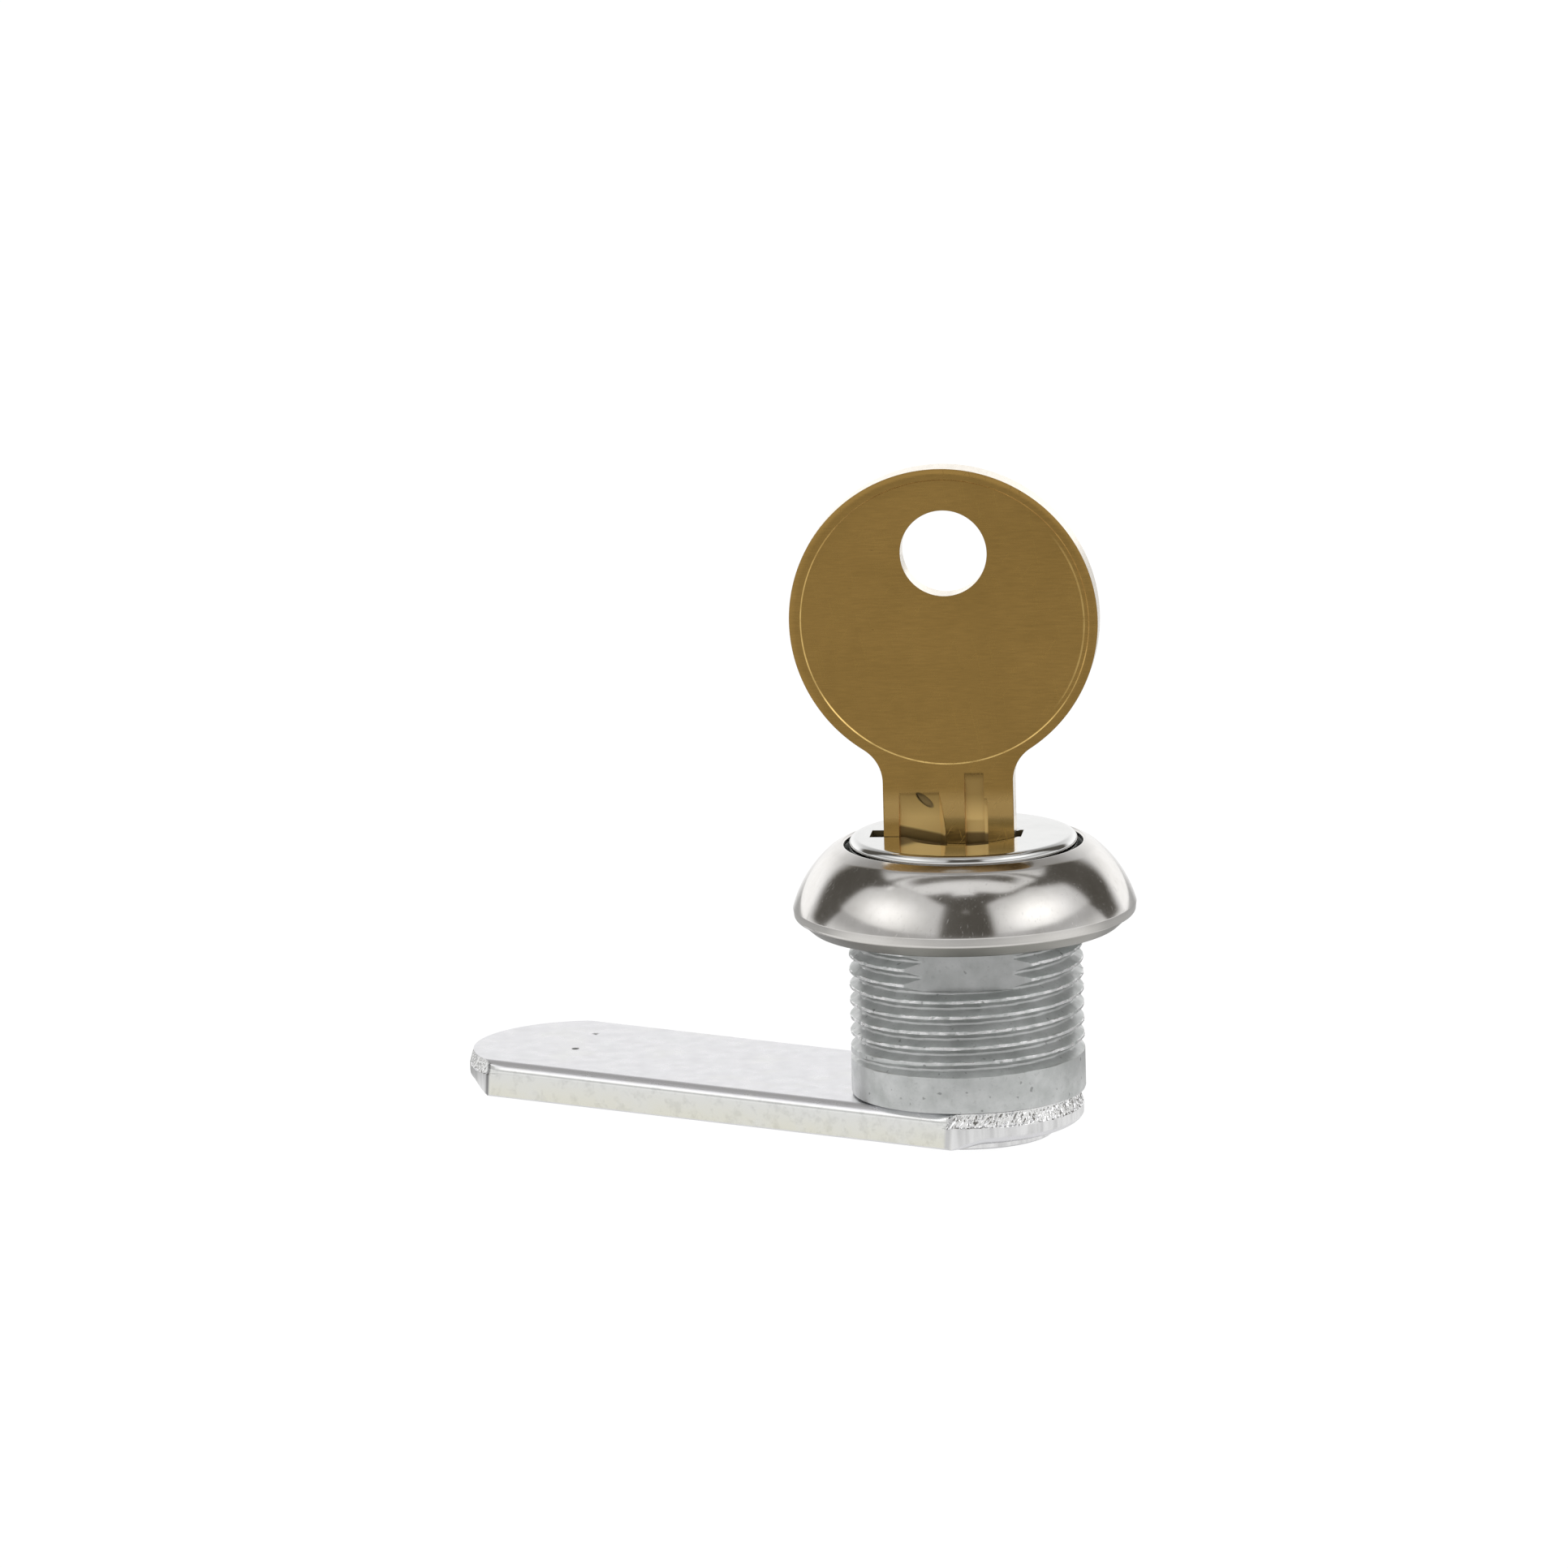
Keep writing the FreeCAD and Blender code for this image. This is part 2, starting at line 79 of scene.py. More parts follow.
# Hollows of the bore. Wafer channel: radius, half width, lowest height. Stop pocket: radius, middle angle,
# half its angle, lowest height. Retainer ring: radius, lowest and highest height
WAFER_CHANNEL = (7.35, 2.85, 4.6)
STOP_POCKET = (8.1, math.radians(-31.0), math.radians(60.6), 16.65)
RETAINER_RING = (7.0, 1.45, 2.85)

# Bezel
BEZEL_RIM_RADIUS = 9.7

# Plug cap
FACE = 21.2
CAP_RADIUS = 9.27
CAP_SHEET = 0.45
CAP_EDGE = 0.6
CAP_SKIRT = 2.75
DISH_RADIUS = 4.75
DISH_DEPTH = 0.65

# Key slot: left end, right end, half width
SLOT = (-7.5, 4.8, 1.325)

# Key
KEY_THICKNESS = 2.4
BOW_RADIUS = 12.53
BOW_CENTRE = (-1.12, 38.96)
COIN_RADIUS = 11.74
COIN_CENTRE = (-1.02, 38.9)
COIN_DEPTH = 0.1
HOLE_RADIUS = 3.52
HOLE_CENTRE = (-1.0, 44.55)
NECK_WIDTH = 10.6
NECK_OFFSET = -1.04
NECK_FILLET = 3.2
NECK_SEAT = 19.72
SPINE = -4.95
CUT_SIDE = 2.65
TIP = 3.8
TIP_BEVEL = 1.6
CUT_HEIGHTS = [14.9 - 2.4 * n for n in range(5)]
CUT_ROOTS = [2.25 - 0.4 * n for n in range(5)]
CUT_FLAT = 1.2

# The key's neck: a tool mark, and painted shade and reflection. The tool mark: half length and half width of
# its cut, then of its painted shade.
# The foot: the height below which each groove is painted dark, a painted reflection of the dark gap around the
# cap
DENT_CENTRE = (-2.97, 24.2)
DENT_TILT = math.radians(-43)
DENT_REACH = (0.86, 0.3)
DENT_MASK = (0.92, 0.34)
DENT_DEPTH = 0.34
NARROW_FOOT = 21.4
WIDE_FOOT = 20.9
WIDE_FOOT_SLOPE = 0.22

# Cam
CAM_TOP = -0.1
CAM_BOTTOM = -3.05
CAM_HALF = 8.79
CAM_PIVOT = 9.35
CAM_CORNER = 41.1
CAM_REACH = 46.8
CAM_SQUARE = 3.75
CAM_TOP_EDGE = 0.95
CAM_BOTTOM_EDGE = 0.3
CAM_TORN = 1.15
CAM_LEAN = 0.34

# The rolled foot of a sheared end, across and up, and two nicks on top: place, radius, depth
CAM_ROLLED = (3.3, 1.2)
CAM_NICKS = ((-32.16, 18.87, 0.6, 0.13), (-30.52, 24.17, 1.4, 0.055))

# Washer and screw
WASHER_RADIUS = 6.9
WASHER_BOTTOM = -3.55
SCREW_HEAD_RADIUS = 5.5
SCREW_HEAD_RIM = -3.7
SCREW_HEAD_LOW = -4.35
SCREW_RADIUS = 2.4
SCREW_END = 0.6

# Brightness of the room's parts
LEFT_BOX = 1.5
RIGHT_BOX = 1.7
SOFT_BOX_EDGE = 0.72
BACK_WALL = 1.25
LOW_WALL = 0.5
OVERHEAD = 0.9
STRIP = 1.15
DARK_GAP = 0.1


def new_object(name, verts, faces):
    """An object from points in millimetres."""
    mesh = bpy.data.meshes.new(name)
    mesh.from_pydata([Vector(v) * MM for v in verts], [], faces)
    obj = bpy.data.objects.new(name, mesh)
    bpy.context.scene.collection.objects.link(obj)
    return obj


def tidy_mesh(obj, sharp_degrees=35.0, merge=0.0005):
    """Merges doubles, turns the normals out and shades smooth up to an angle."""
    work = bmesh.new()
    work.from_mesh(obj.data)
    bmesh.ops.remove_doubles(work, verts=work.verts, dist=merge * MM)
    bmesh.ops.dissolve_degenerate(work, edges=work.edges, dist=merge * MM)
    bmesh.ops.recalc_face_normals(work, faces=work.faces)
    work.to_mesh(obj.data)
    work.free()
    obj.data.shade_smooth()
    obj.data.set_sharp_from_angle(angle=math.radians(sharp_degrees))
    return obj


def bands(rings, size, closed=False, flip=False):
    """The faces between rings of points that follow each other in one list."""
    faces = []
    for ring in range(rings if closed else rings - 1):
        here = ring * size
        above = (ring + 1) % rings * size
        for n in range(size):
            after = (n + 1) % size
            face = (here + n, here + after, above + after, above + n)
            faces.append((face[1], face[0], face[3], face[2]) if flip else face)
    return faces


def lofted(name, verts, size, flip=False):
    """A solid through rings of points, closed at its first and its last ring."""
    rings = len(verts) // size
    ends = [tuple(range(size)), tuple(range(rings * size - 1, (rings - 1) * size - 1, -1))]
    return new_object(name, verts, ends + bands(rings, size, flip=flip))


def turned(name, profile, segments, warp=None):
    """A closed profile of (radius, height) points turned about the lock's axis."""
    verts = []
    for radius, height in profile:
        for step in range(segments):
            angle = 2 * math.pi * step / segments
            r, z = warp(angle, radius, height) if warp else (radius, height)
            verts.append((r * math.cos(angle), r * math.sin(angle), z))
    return tidy_mesh(new_object(name, verts, bands(len(profile), segments, closed=True)))


def arc_points(centre, radius, start, end, steps):
    """Points on an arc, by its centre and its two angles in degrees."""
    angles = [math.radians(start + (end - start) * n / steps) for n in range(steps + 1)]
    return [(centre[0] + radius * math.cos(a), centre[1] + radius * math.sin(a)) for a in angles]


def applied(obj):
    """Applies every modifier."""
    graph = bpy.context.evaluated_depsgraph_get()
    mesh = bpy.data.meshes.new_from_object(obj.evaluated_get(graph))
    obj.modifiers.clear()
    obj.data = mesh
    return obj


def carved(obj, *cutters):
    """The object less its cutters, which are then deleted."""
    for cutter in cutters:
        cut = obj.modifiers.new("cut", "BOOLEAN")
        cut.operation = "DIFFERENCE"
        cut.solver = "EXACT"
        cut.object = cutter
    applied(obj)
    for cutter in cutters:
        bpy.data.objects.remove(cutter)
    return obj


def bevelled(obj, width, segments, degrees):
    bevel = obj.modifiers.new("bevel", "BEVEL")
    bevel.width = width * MM
    bevel.segments = segments
    bevel.limit_method = "ANGLE"
    bevel.angle_limit = math.radians(degrees)
    bevel.harden_normals = False
    bevel.miter_outer = "MITER_ARC"
    return applied(obj)


def flat_faced(obj):
    """Lets the largest faces set the shading, so that flat faces look flat beside their bevels."""
    weighted = obj.modifiers.new("weighted", "WEIGHTED_NORMAL")
    weighted.mode = "FACE_AREA"
    weighted.weight = 100
    weighted.keep_sharp = True
    return applied(obj)


def block(name, low, high):
    """A cutter with straight sides."""
    x, y, z = zip(low, high)
    verts = [(x[i], y[j], z[k]) for i in (0, 1) for j in (0, 1) for k in (0, 1)]
    faces = [(0, 1, 3, 2), (4, 6, 7, 5), (0, 4, 5, 1), (2, 3, 7, 6), (0, 2, 6, 4), (1, 5, 7, 3)]
    return new_object(name, verts, faces)


def prism(name, outline, low, high, place):
    """An outline of (a, b) points made solid between two levels. place(a, b, level) gives a point."""
    verts = [place(a, b, level) for level in (low, high) for a, b in outline]
    return lofted(name, verts, len(outline), flip=True)


def on_flat(a, b, level):
    """A point of the key's side view: across, up, and through its thickness."""
    return (a, level, b)


def circle(centre, radius, steps):
    return arc_points(centre, radius, 0, 360, steps)[:-1]


def clock(obj, angle):
    """Turns the object's mesh about the lock's axis."""
    obj.data.transform(Matrix.Rotation(angle, 4, "Z"))
    return obj


def smooth(value, low, high):
    """Goes from 0 to 1 with soft ends as the value goes from low to high."""
    t = min(max((value - low) / (high - low), 0), 1)
    return t * t * (3 - 2 * t)


def rough(x, y, z, size):
    """Smooth noise about zero, with features of a given size."""
    return noise.noise(Vector((x, y, z)) / size)


def thread_radius(angle, height):
    """The outside of the barrel at one angle and height: band, thread and the two flats."""
    around = angle / (2 * math.pi)
    turns = (height - THREAD_START) / THREAD_PITCH - around + THREAD_ANGLE / 360
    nearest = math.floor(turns + 0.5)
    away = abs(turns - nearest) * THREAD_PITCH
    along = (around + nearest) * 360 - THREAD_ANGLE
    depth = THREAD_DEPTH * smooth(along, *THREAD_RUN_OUT)
    root_half = (THREAD_PITCH - THREAD_CREST) / 2 - THREAD_DEPTH * THREAD_SLOPE
    groove = depth - max(0.0, away - root_half) / THREAD_SLOPE
    x = math.cos(angle) * BARREL_RADIUS
    y = math.sin(angle) * BARREL_RADIUS
    radius = BARREL_RADIUS
    if groove > 0:
        radius -= groove + 0.03 * rough(x, y, height * 3, 0.9)
    elif height > THREAD_START:
        chip = max(0.0, rough(x * 1.3, y * 1.3, height, 0.5) - 0.1)
        radius -= 0.02 + 0.14 * chip
    if height > FLAT_START:
        reach = abs(math.sin(angle))
        if reach * radius > FLAT_DISTANCE:
            radius = FLAT_DISTANCE / reach
    return radius


def bore_radius(angle, radius, height):
    """The bore at one angle and height: plain, or opened for the wafers and for the plug's stop lug."""
    depth, half, low = WAFER_CHANNEL
    if height > low:
        for turn in (0.0, -math.pi / 2):
            aside = (angle - KEY_CLOCKING - turn) % (2 * math.pi) - math.pi
            if abs(aside) < math.pi / 2:
                radius = max(radius, min(depth, half / max(abs(math.sin(aside)), 0.001)))
    reach, middle, span, low = STOP_POCKET
    aside = (angle - middle + math.pi) % (2 * math.pi) - math.pi
    if height > low and abs(aside) < span:
        radius = max(radius, reach)
    return radius


def make_housing():
    """The barrel with its thread and flats, its head, its bore and the seat for the plug."""
    steps = 22
    low = THREAD_START - THREAD_PITCH / 2
    count = int((BARREL_LENGTH - low) / THREAD_PITCH * steps)
    heights = [low + (BARREL_LENGTH - low) * n / count for n in range(count + 1)]
    heights += [FLAT_START - 0.004, FLAT_START + 0.004]
    band = [(BORE_RADIUS, 0), (9.3, 0), (9.45, 0.06), (BARREL_RADIUS, 0.25), (BARREL_RADIUS, 1.8)]
    outside = [(BARREL_RADIUS, z) for z in sorted(heights)]
    head = [(12.0, BARREL_LENGTH + 0.53), (12.9, BARREL_LENGTH + 0.7), (13.3, 15.5), (12.3, 17.6),
            (10.9, 19.3), (9.9, 20.15), (COUNTERBORE_RADIUS + 0.05, 20.2)]
    ring, ring_low, ring_high = RETAINER_RING
    inside = [(COUNTERBORE_RADIUS, 20.1), (COUNTERBORE_RADIUS, HEAD_FLOOR), (BORE_RADIUS + 0.1, HEAD_FLOOR),
              (BORE_RADIUS, HEAD_FLOOR - 0.1)]
    for floor in (STOP_POCKET[-1], WAFER_CHANNEL[-1]):
        inside += [(BORE_RADIUS, floor + 0.004), (BORE_RADIUS, floor - 0.004)]
    inside += [(BORE_RADIUS, ring_high), (ring, ring_high), (ring, ring_low), (BORE_RADIUS, ring_low),
               (BORE_RADIUS, 0.1)]

    def warp(angle, radius, height):
        if radius == BARREL_RADIUS and height >= low:
            return thread_radius(angle, height), height
        if radius <= BORE_RADIUS + 0.1:
            return bore_radius(angle, radius, height), height
        return radius, height

    return turned("housing_threaded", band + outside + head + inside, 360, warp)


def bezel_outline():
    """The outer face of the bezel from its crimped edge, over the dome, to its rolled rim."""
    return (
        [(12.35, 13.7), (12.5, 13.7), (12.62, 13.78), (13.66, 14.72)]
        + arc_points((13.5, 14.98), 0.4, -50, 8, 8)
        + arc_points((4.811, 12.812), 9.5, 16, 49.5, 50)
        + arc_points((9.682, 18.515), 2.0, 51, 61, 8)
        + arc_points((6.774, 13.267), 8.0, 62, 66.5, 6)
        + arc_points((9.885, 20.421), 0.199, 72, 180, 8)
    )


def make_bezel():
    """The polished sheet cap: the outer face, its rolled rim and its inner wall."""
    outer = bezel_outline()
    inner = [(BEZEL_RIM_RADIUS, 20.35), (9.85, 20.24), (10.2, 19.95), (11.3, 19.0), (12.4, 17.4),
             (13.1, 16.0), (13.38, 15.3), (13.25, 14.95), (12.35, 14.2)]
    return turned("bezel_cap", outer + inner, 360)


def make_plug_cap():
    """The polished cap of the plug: rounded edge, flat rim, shallow dish and the key slot."""
    sphere = (DISH_RADIUS ** 2 + DISH_DEPTH ** 2) / (2 * DISH_DEPTH)
    bottom = FACE - DISH_DEPTH

    def skin(inset, steps):
        ball = sphere + inset
        edge = CAP_EDGE - inset * 0.8
        radius = CAP_RADIUS - inset
        top = FACE - inset
        dish = math.sqrt(DISH_DEPTH * (2 * ball - DISH_DEPTH))
        points = []
        for n in range(steps + 1):
            r = 0.02 + (dish - 0.02) * n / steps
            points.append((r, bottom - inset + ball - math.sqrt(ball ** 2 - r ** 2)))
        points += [(dish + 0.12, top), (radius - edge - 0.2, top)]
        points += arc_points((radius - edge, top - edge), edge, 90, 0, 12)
        points.append((radius, FACE - CAP_SKIRT))
        return points

    outer = skin(0, 26)
    inner = skin(CAP_SHEET, 8)
    cap = turned("plug_cap_face", outer + inner[::-1], 256)
    slot = block("slot_cutter", (SLOT[0], -SLOT[2], 10), (SLOT[1], SLOT[2], 30))
    return tidy_mesh(clock(carved(cap, slot), KEY_CLOCKING), 30)


def key_outline():
    """The key from the side: bow, neck, and the blade with its cuts."""
    left = NECK_OFFSET - NECK_WIDTH / 2
    right = NECK_OFFSET + NECK_WIDTH / 2

    def fillet(edge, side):
        """The centre and sweep of the round between the neck's edge and the bow."""
        across = edge + side * NECK_FILLET
        reach = abs(across - BOW_CENTRE[0])
        low = BOW_CENTRE[1] - math.sqrt((BOW_RADIUS + NECK_FILLET) ** 2 - reach ** 2)
        return (across, low), math.degrees(math.atan2(BOW_CENTRE[1] - low, reach))

    right_centre, right_slope = fillet(right, 1)
    left_centre, left_slope = fillet(left, -1)
    points = arc_points(right_centre, NECK_FILLET, 180, 180 - right_slope, 14)[:-1]
    points += arc_points(BOW_CENTRE, BOW_RADIUS, -right_slope, 180 + left_slope, 150)[:-1]
    points += arc_points(left_centre, NECK_FILLET, left_slope, 0, 14)
    points += [(left, NECK_SEAT), (SPINE, NECK_SEAT), (SPINE, TIP + TIP_BEVEL), (SPINE + TIP_BEVEL, TIP)]
    side = CUT_ROOTS[-1]
    points += [(side - TIP_BEVEL / 2, TIP), (side, CUT_HEIGHTS[-1] - CUT_FLAT / 2)]
    steps = list(zip(CUT_HEIGHTS, CUT_ROOTS))[::-1]
    for n, (height, root) in enumerate(steps):
        above = steps[n + 1][1] if n + 1 < len(steps) else CUT_SIDE
        points.append((root, height + CUT_FLAT / 2))
        points.append((above, height + CUT_FLAT / 2 + above - root))
    points += [(CUT_SIDE, NECK_SEAT), (right, NECK_SEAT)]
    return points


def milled(name, left, right, lean, top, depth, wheel=12.0, steps=14, worn=0.0):
    """A groove in the key's front, cut upwards by a wheel that leaves at a given height.

    The groove is as wide as left to right at its floor, and its walls lean out by their two slopes.
    A worn groove has no edge where it ends: from that depth on it eases into the face."""
    front = -KEY_THICKNESS / 2
    reach = math.sqrt(wheel ** 2 - (wheel - depth) ** 2)
    line = [(depth, 0.0)]
    for n in range(steps + 1):
        rise = reach * n / steps
        line.append((depth - wheel + math.sqrt(wheel ** 2 - rise ** 2), top - reach + rise))
    if worn:
        line = [point for point in line if point[0] > worn]
        height = top - reach + math.sqrt(wheel ** 2 - (wheel - depth + worn) ** 2)
        slope = math.tan(math.asin((height - top + reach) / wheel))
        for n in range(11):
            rise = 2 * worn / slope * n / 10
            line.append((worn - slope * rise + slope ** 2 / (4 * worn) * rise ** 2, height + rise))
        line.append((-0.02, line[-1][1] + 0.05))
        line.append((-0.4, line[-1][1] + 0.05))
    else:
        line.append((-0.4, top + 0.4 / math.tan(math.acos(1 - depth / wheel))))
    verts = []
    for deep, z in line:
        proud = deep + 1.0
        verts += [(left, front + deep, z), (right, front + deep, z),
                  (right + lean[1] * proud, front - 1.0, z), (left - lean[0] * proud, front - 1.0, z)]
    return lofted(name, verts, 4)


def groove_cutters():
    """The two milled grooves of the blade, where they run out up the front of the neck."""
    return [
        milled("wide_cutter", -5.02, -1.78, (0.15, 1.05), 24.9, 0.6, 30.0, worn=0.04),
        milled("narrow_cutter", 0.3, 1.87, (0.03, 0.05), 26.6, 0.38),
        milled("ledge_cutter", 0.32, 2.13, (0.0, 0.1), 24.35, 0.16, 1.5),
        milled("deep_cutter", 0.34, 1.85, (0.0, 0.0), 23.9, 0.56, 9.0),
    ]


def dent_cutter():
    """A small oval tool mark in the wide groove."""
    around = 28
    floor = DENT_DEPTH - KEY_THICKNESS / 2
    verts = []
    for size, level in ((0.72, floor), (0.9, floor - 0.03), (1.02, floor - 0.1), (1.1, floor - 0.6)):
        for n in range(around):
            turn = 2 * math.pi * n / around
            x = DENT_REACH[0] * size * math.cos(turn)
            z = DENT_REACH[1] * size * math.sin(turn) * (1 + 0.25 * math.cos(turn))
            verts.append((DENT_CENTRE[0] + x * math.cos(DENT_TILT) - z * math.sin(DENT_TILT), level,
                          DENT_CENTRE[1] + x * math.sin(DENT_TILT) + z * math.cos(DENT_TILT)))
    return lofted("dent_cutter", verts, around)


def ring_cutter(name, centre, side, profile, start, sweep, fade):
    """Takes part of a turned shape off one face of the bow. The profile is (radius, depth below the face)
    points. At both ends of the sweep the cut fades out over a few degrees."""
    steps = int(sweep / 1.8)
    verts = []
    for n in range(steps + 1):
        turn = sweep * n / steps
        share = smooth(min(turn, sweep - turn), 0.0, fade)
        angle = math.radians(start + turn)
        for radius, depth in profile:
            deep = depth * share if depth > 0 else depth
            level = side * (KEY_THICKNESS / 2 - deep - 0.002 * (share - 0.5))
            verts.append((centre[0] + radius * math.cos(angle), level, centre[1] + radius * math.sin(angle)))
    return lofted(name, verts, len(profile))


def make_key():
    """The brass key with its coined circle, crowned rim, ring hole, grooves and blade."""
    half = KEY_THICKNESS / 2
    key = prism("key_body", key_outline(), -half, half, on_flat)
    cutters = [prism("hole_cutter", circle(HOLE_CENTRE, HOLE_RADIUS, 96), -3, 3, on_flat)]
    crown = [(12.0, 0.0), (12.15, 0.008), (12.3, 0.025), (12.42, 0.045), (12.53, 0.065), (12.9, 0.14),
             (12.9, -1.0), (12.0, -1.0)]
    strike = [(11.22, -1.0), (11.22, 0.1), (11.27, 0.13), (11.33, 0.13), (11.38, 0.1), (11.38, -1.0)]
    for side in (-1, 1):
        cutters.append(coin_cutter(side))
        cutters.append(ring_cutter(f"crown_cutter_{side}", BOW_CENTRE, side, crown, -46.0, 272.0, 16.0))
        cutters.append(ring_cutter(f"strike_cutter_{side}", COIN_CENTRE, side, strike, -48.0, 96.0, 20.0))
    cutters += groove_cutters()
    cutters.append(dent_cutter())
    for cutter in cutters:
        tidy_mesh(cutter)
    tidy_mesh(key)
    carved(key, *cutters)
    tidy_mesh(key, 35, 0.002)
    bevelled(key, 0.07, 2, 28)
    clock(tidy_mesh(key, 35, 0.001), KEY_CLOCKING)
    return flat_faced(key)


def coin_cutter(side):
    """A shallow round recess with a sloping edge, in one face of the bow."""
    steps = 200
    half = KEY_THICKNESS / 2
    verts = []
    for radius, level in ((COIN_RADIUS - 0.1, half - COIN_DEPTH), (COIN_RADIUS + 0.9, half + 0.9)):
        verts += [(a, side * level, b) for a, b in circle(COIN_CENTRE, radius, steps)]
    return lofted(f"coin_cutter_{side}", verts, steps, flip=True)


def cam_outline():
    """The cam from above: place, way out, distance along the edge, and how far that is into a sheared end."""
    back = math.sqrt(CAM_PIVOT ** 2 - CAM_HALF ** 2)
    rise = CAM_REACH - CAM_CORNER
    tip_radius = (CAM_HALF ** 2 + rise ** 2) / (2 * rise)
    tip_angle = math.asin(CAM_HALF / tip_radius)
    pivot_angle = math.atan2(CAM_HALF, back)
    points = []

    def sheared_end(centre, radius, middle, half_angle, steps):
        for n in range(steps + 1):
            a = middle - half_angle + 2 * half_angle * n / steps
            into = radius * 2 * half_angle * min(n, steps - n) / steps
            points.append((centre + radius * math.cos(a), radius * math.sin(a), math.cos(a), math.sin(a),
                           radius * a, into))

    def rolled_side(start, end, side):
        for n in range(1, 60):
            x = start + (end - start) * n / 60
            points.append((x, side * CAM_HALF, 0.0, side, x, None))

    sheared_end(CAM_REACH - tip_radius, tip_radius, 0.0, tip_angle, 320)
    rolled_side(CAM_CORNER, -back, 1.0)
    sheared_end(0.0, CAM_PIVOT, math.pi, pivot_angle, 480)
    rolled_side(-back, CAM_CORNER, -1.0)
    return points


def mill_inset(from_top, from_low):
    """How far the rounded long edge of the bar stands in, at one height."""
    inset = 0.0
    for away, radius in ((from_top, CAM_TOP_EDGE), (from_low, CAM_BOTTOM_EDGE)):
        if away < radius:
            inset = radius - math.sqrt(radius ** 2 - (radius - away) ** 2)
    return inset


def sheared_inset(from_top, from_low, along, into):
    """How far a sheared edge stands in: torn and leaning above, smooth below, rolled at the foot."""
    inset = CAM_LEAN * max(0.0, 1 - from_top / CAM_TORN)
    ragged = CAM_TORN + 0.16 * rough(along, 0.0, 5.0, 0.6)
    torn = smooth(from_top, 0.0, 0.1) * smooth(ragged - from_top, 0.0, 0.12)
    slant = along * 0.87 + from_top * 0.5
    rising = from_top * 0.87 - along * 0.5
    facet = abs(rough(slant * 2.2, rising * 0.7, 1.0, 0.62))
    facet += 0.3 * abs(rough(slant * 2.0, rising, 4.0, 0.28))
    inset += torn * 0.2 * facet
    inset += (1 - torn) * smooth(from_top, 0.3, 1.2) * 0.02 * (1 + rough(along, 0.0, 9.0, 0.3))
    share = smooth(into, 0.0, 3.5)
    across, up = CAM_ROLLED[0] * share, CAM_ROLLED[1] * (0.2 + 0.8 * share)
    if from_low < up:
        inset += across * (1 - math.sqrt(1 - ((up - from_low) / up) ** 2))
    return inset


def make_cam():
    """The flat bar: rounded long edges that the sheared ends cut through, the square hole and two nicks."""
    outline = cam_outline()
    thickness = CAM_TOP - CAM_BOTTOM
    falls = [0, 0.01, 0.03, 0.06] + [0.1 + 0.05 * n for n in range(27)]
    falls += [thickness - up for up in (1.3, 1.2, 1.08, 0.96, 0.84, 0.73, 0.62, 0.52, 0.43, 0.35, 0.29, 0.23,
                                        0.17, 0.12, 0.08, 0.05, 0.025, 0.01, 0)]
    verts = []
    for fall in falls:
        limit = CAM_HALF - mill_inset(fall, thickness - fall)
        for x, y, nx, ny, along, into in outline:
            inset = 0.0 if into is None else sheared_inset(fall, thickness - fall, along, into)
            y = min(max(y - ny * inset, -limit), limit)
            verts.append((x - nx * inset, y, CAM_TOP - fall))
    cam = tidy_mesh(lofted("cam_bar", verts, len(outline), flip=True), 18)
    hole = block("square_cutter", (-CAM_SQUARE, -CAM_SQUARE, -10), (CAM_SQUARE, CAM_SQUARE, 10))
    clock(carved(cam, hole), CAM_DIRECTION)
    nicks = []
    for x, y, radius, depth in CAM_NICKS:
        arc = arc_points((0.0, CAM_TOP + radius - depth), radius, -89, 80, 12)
        nick = turned("nick_cutter", arc, 24)
        nick.data.transform(Matrix.Translation(Vector((x, y, 0)) * MM))
        nicks.append(nick)
    return flat_faced(tidy_mesh(carved(cam, *nicks), 18))


def make_washer():
    inner = SCREW_RADIUS + 0.05
    profile = [(inner, CAM_BOTTOM), (WASHER_RADIUS - 0.04, CAM_BOTTOM), (WASHER_RADIUS, CAM_BOTTOM - 0.04)]
    profile += arc_points((WASHER_RADIUS - 0.22, WASHER_BOTTOM + 0.22), 0.22, 0, -90, 6)
    profile.append((inner, WASHER_BOTTOM))
    return turned("cam_washer_ring", profile, 160)


def make_screw():
    """The domed screw under the cam, with a cross recess."""
    drop = SCREW_HEAD_RIM - SCREW_HEAD_LOW
    sphere = (SCREW_HEAD_RADIUS ** 2 + drop ** 2) / (2 * drop)
    profile = []
    for n in range(25):
        r = 0.02 + (SCREW_HEAD_RADIUS - 0.1) * n / 24
        profile.append((r, SCREW_HEAD_LOW + sphere - math.sqrt(sphere ** 2 - r ** 2)))
    profile += [(SCREW_HEAD_RADIUS, SCREW_HEAD_RIM + 0.02), (SCREW_HEAD_RADIUS, WASHER_BOTTOM - 0.03),
                (SCREW_HEAD_RADIUS - 0.05, WASHER_BOTTOM), (SCREW_RADIUS, WASHER_BOTTOM),
                (SCREW_RADIUS, SCREW_END - 0.3), (SCREW_RADIUS - 0.3, SCREW_END), (0.02, SCREW_END)]
    screw = turned("cam_screw_head", profile, 160)
    arms = []
    for angle in (0.0, math.pi / 2):
        arm = block("arm_cutter", (-2.1, -0.42, -6), (2.1, 0.42, SCREW_HEAD_LOW + 2.2))
        for vert in arm.data.vertices:
            if vert.co.z > SCREW_HEAD_LOW * MM:
                vert.co.x *= 0.45
        arms.append(clock(arm, angle + math.radians(20)))
    return tidy_mesh(carved(screw, *arms))


def heading(angle):
    """The level direction at an angle."""
    return (math.cos(angle), math.sin(angle), 0.0)


def key_face():
    """The way out of the key's front face."""
    return heading(KEY_CLOCKING - math.pi / 2)


def rgba(colour):
    """A colour's four values, from three or from one grey."""
    return (*colour, 1.0) if isinstance(colour, tuple) else (colour, colour, colour, 1.0)


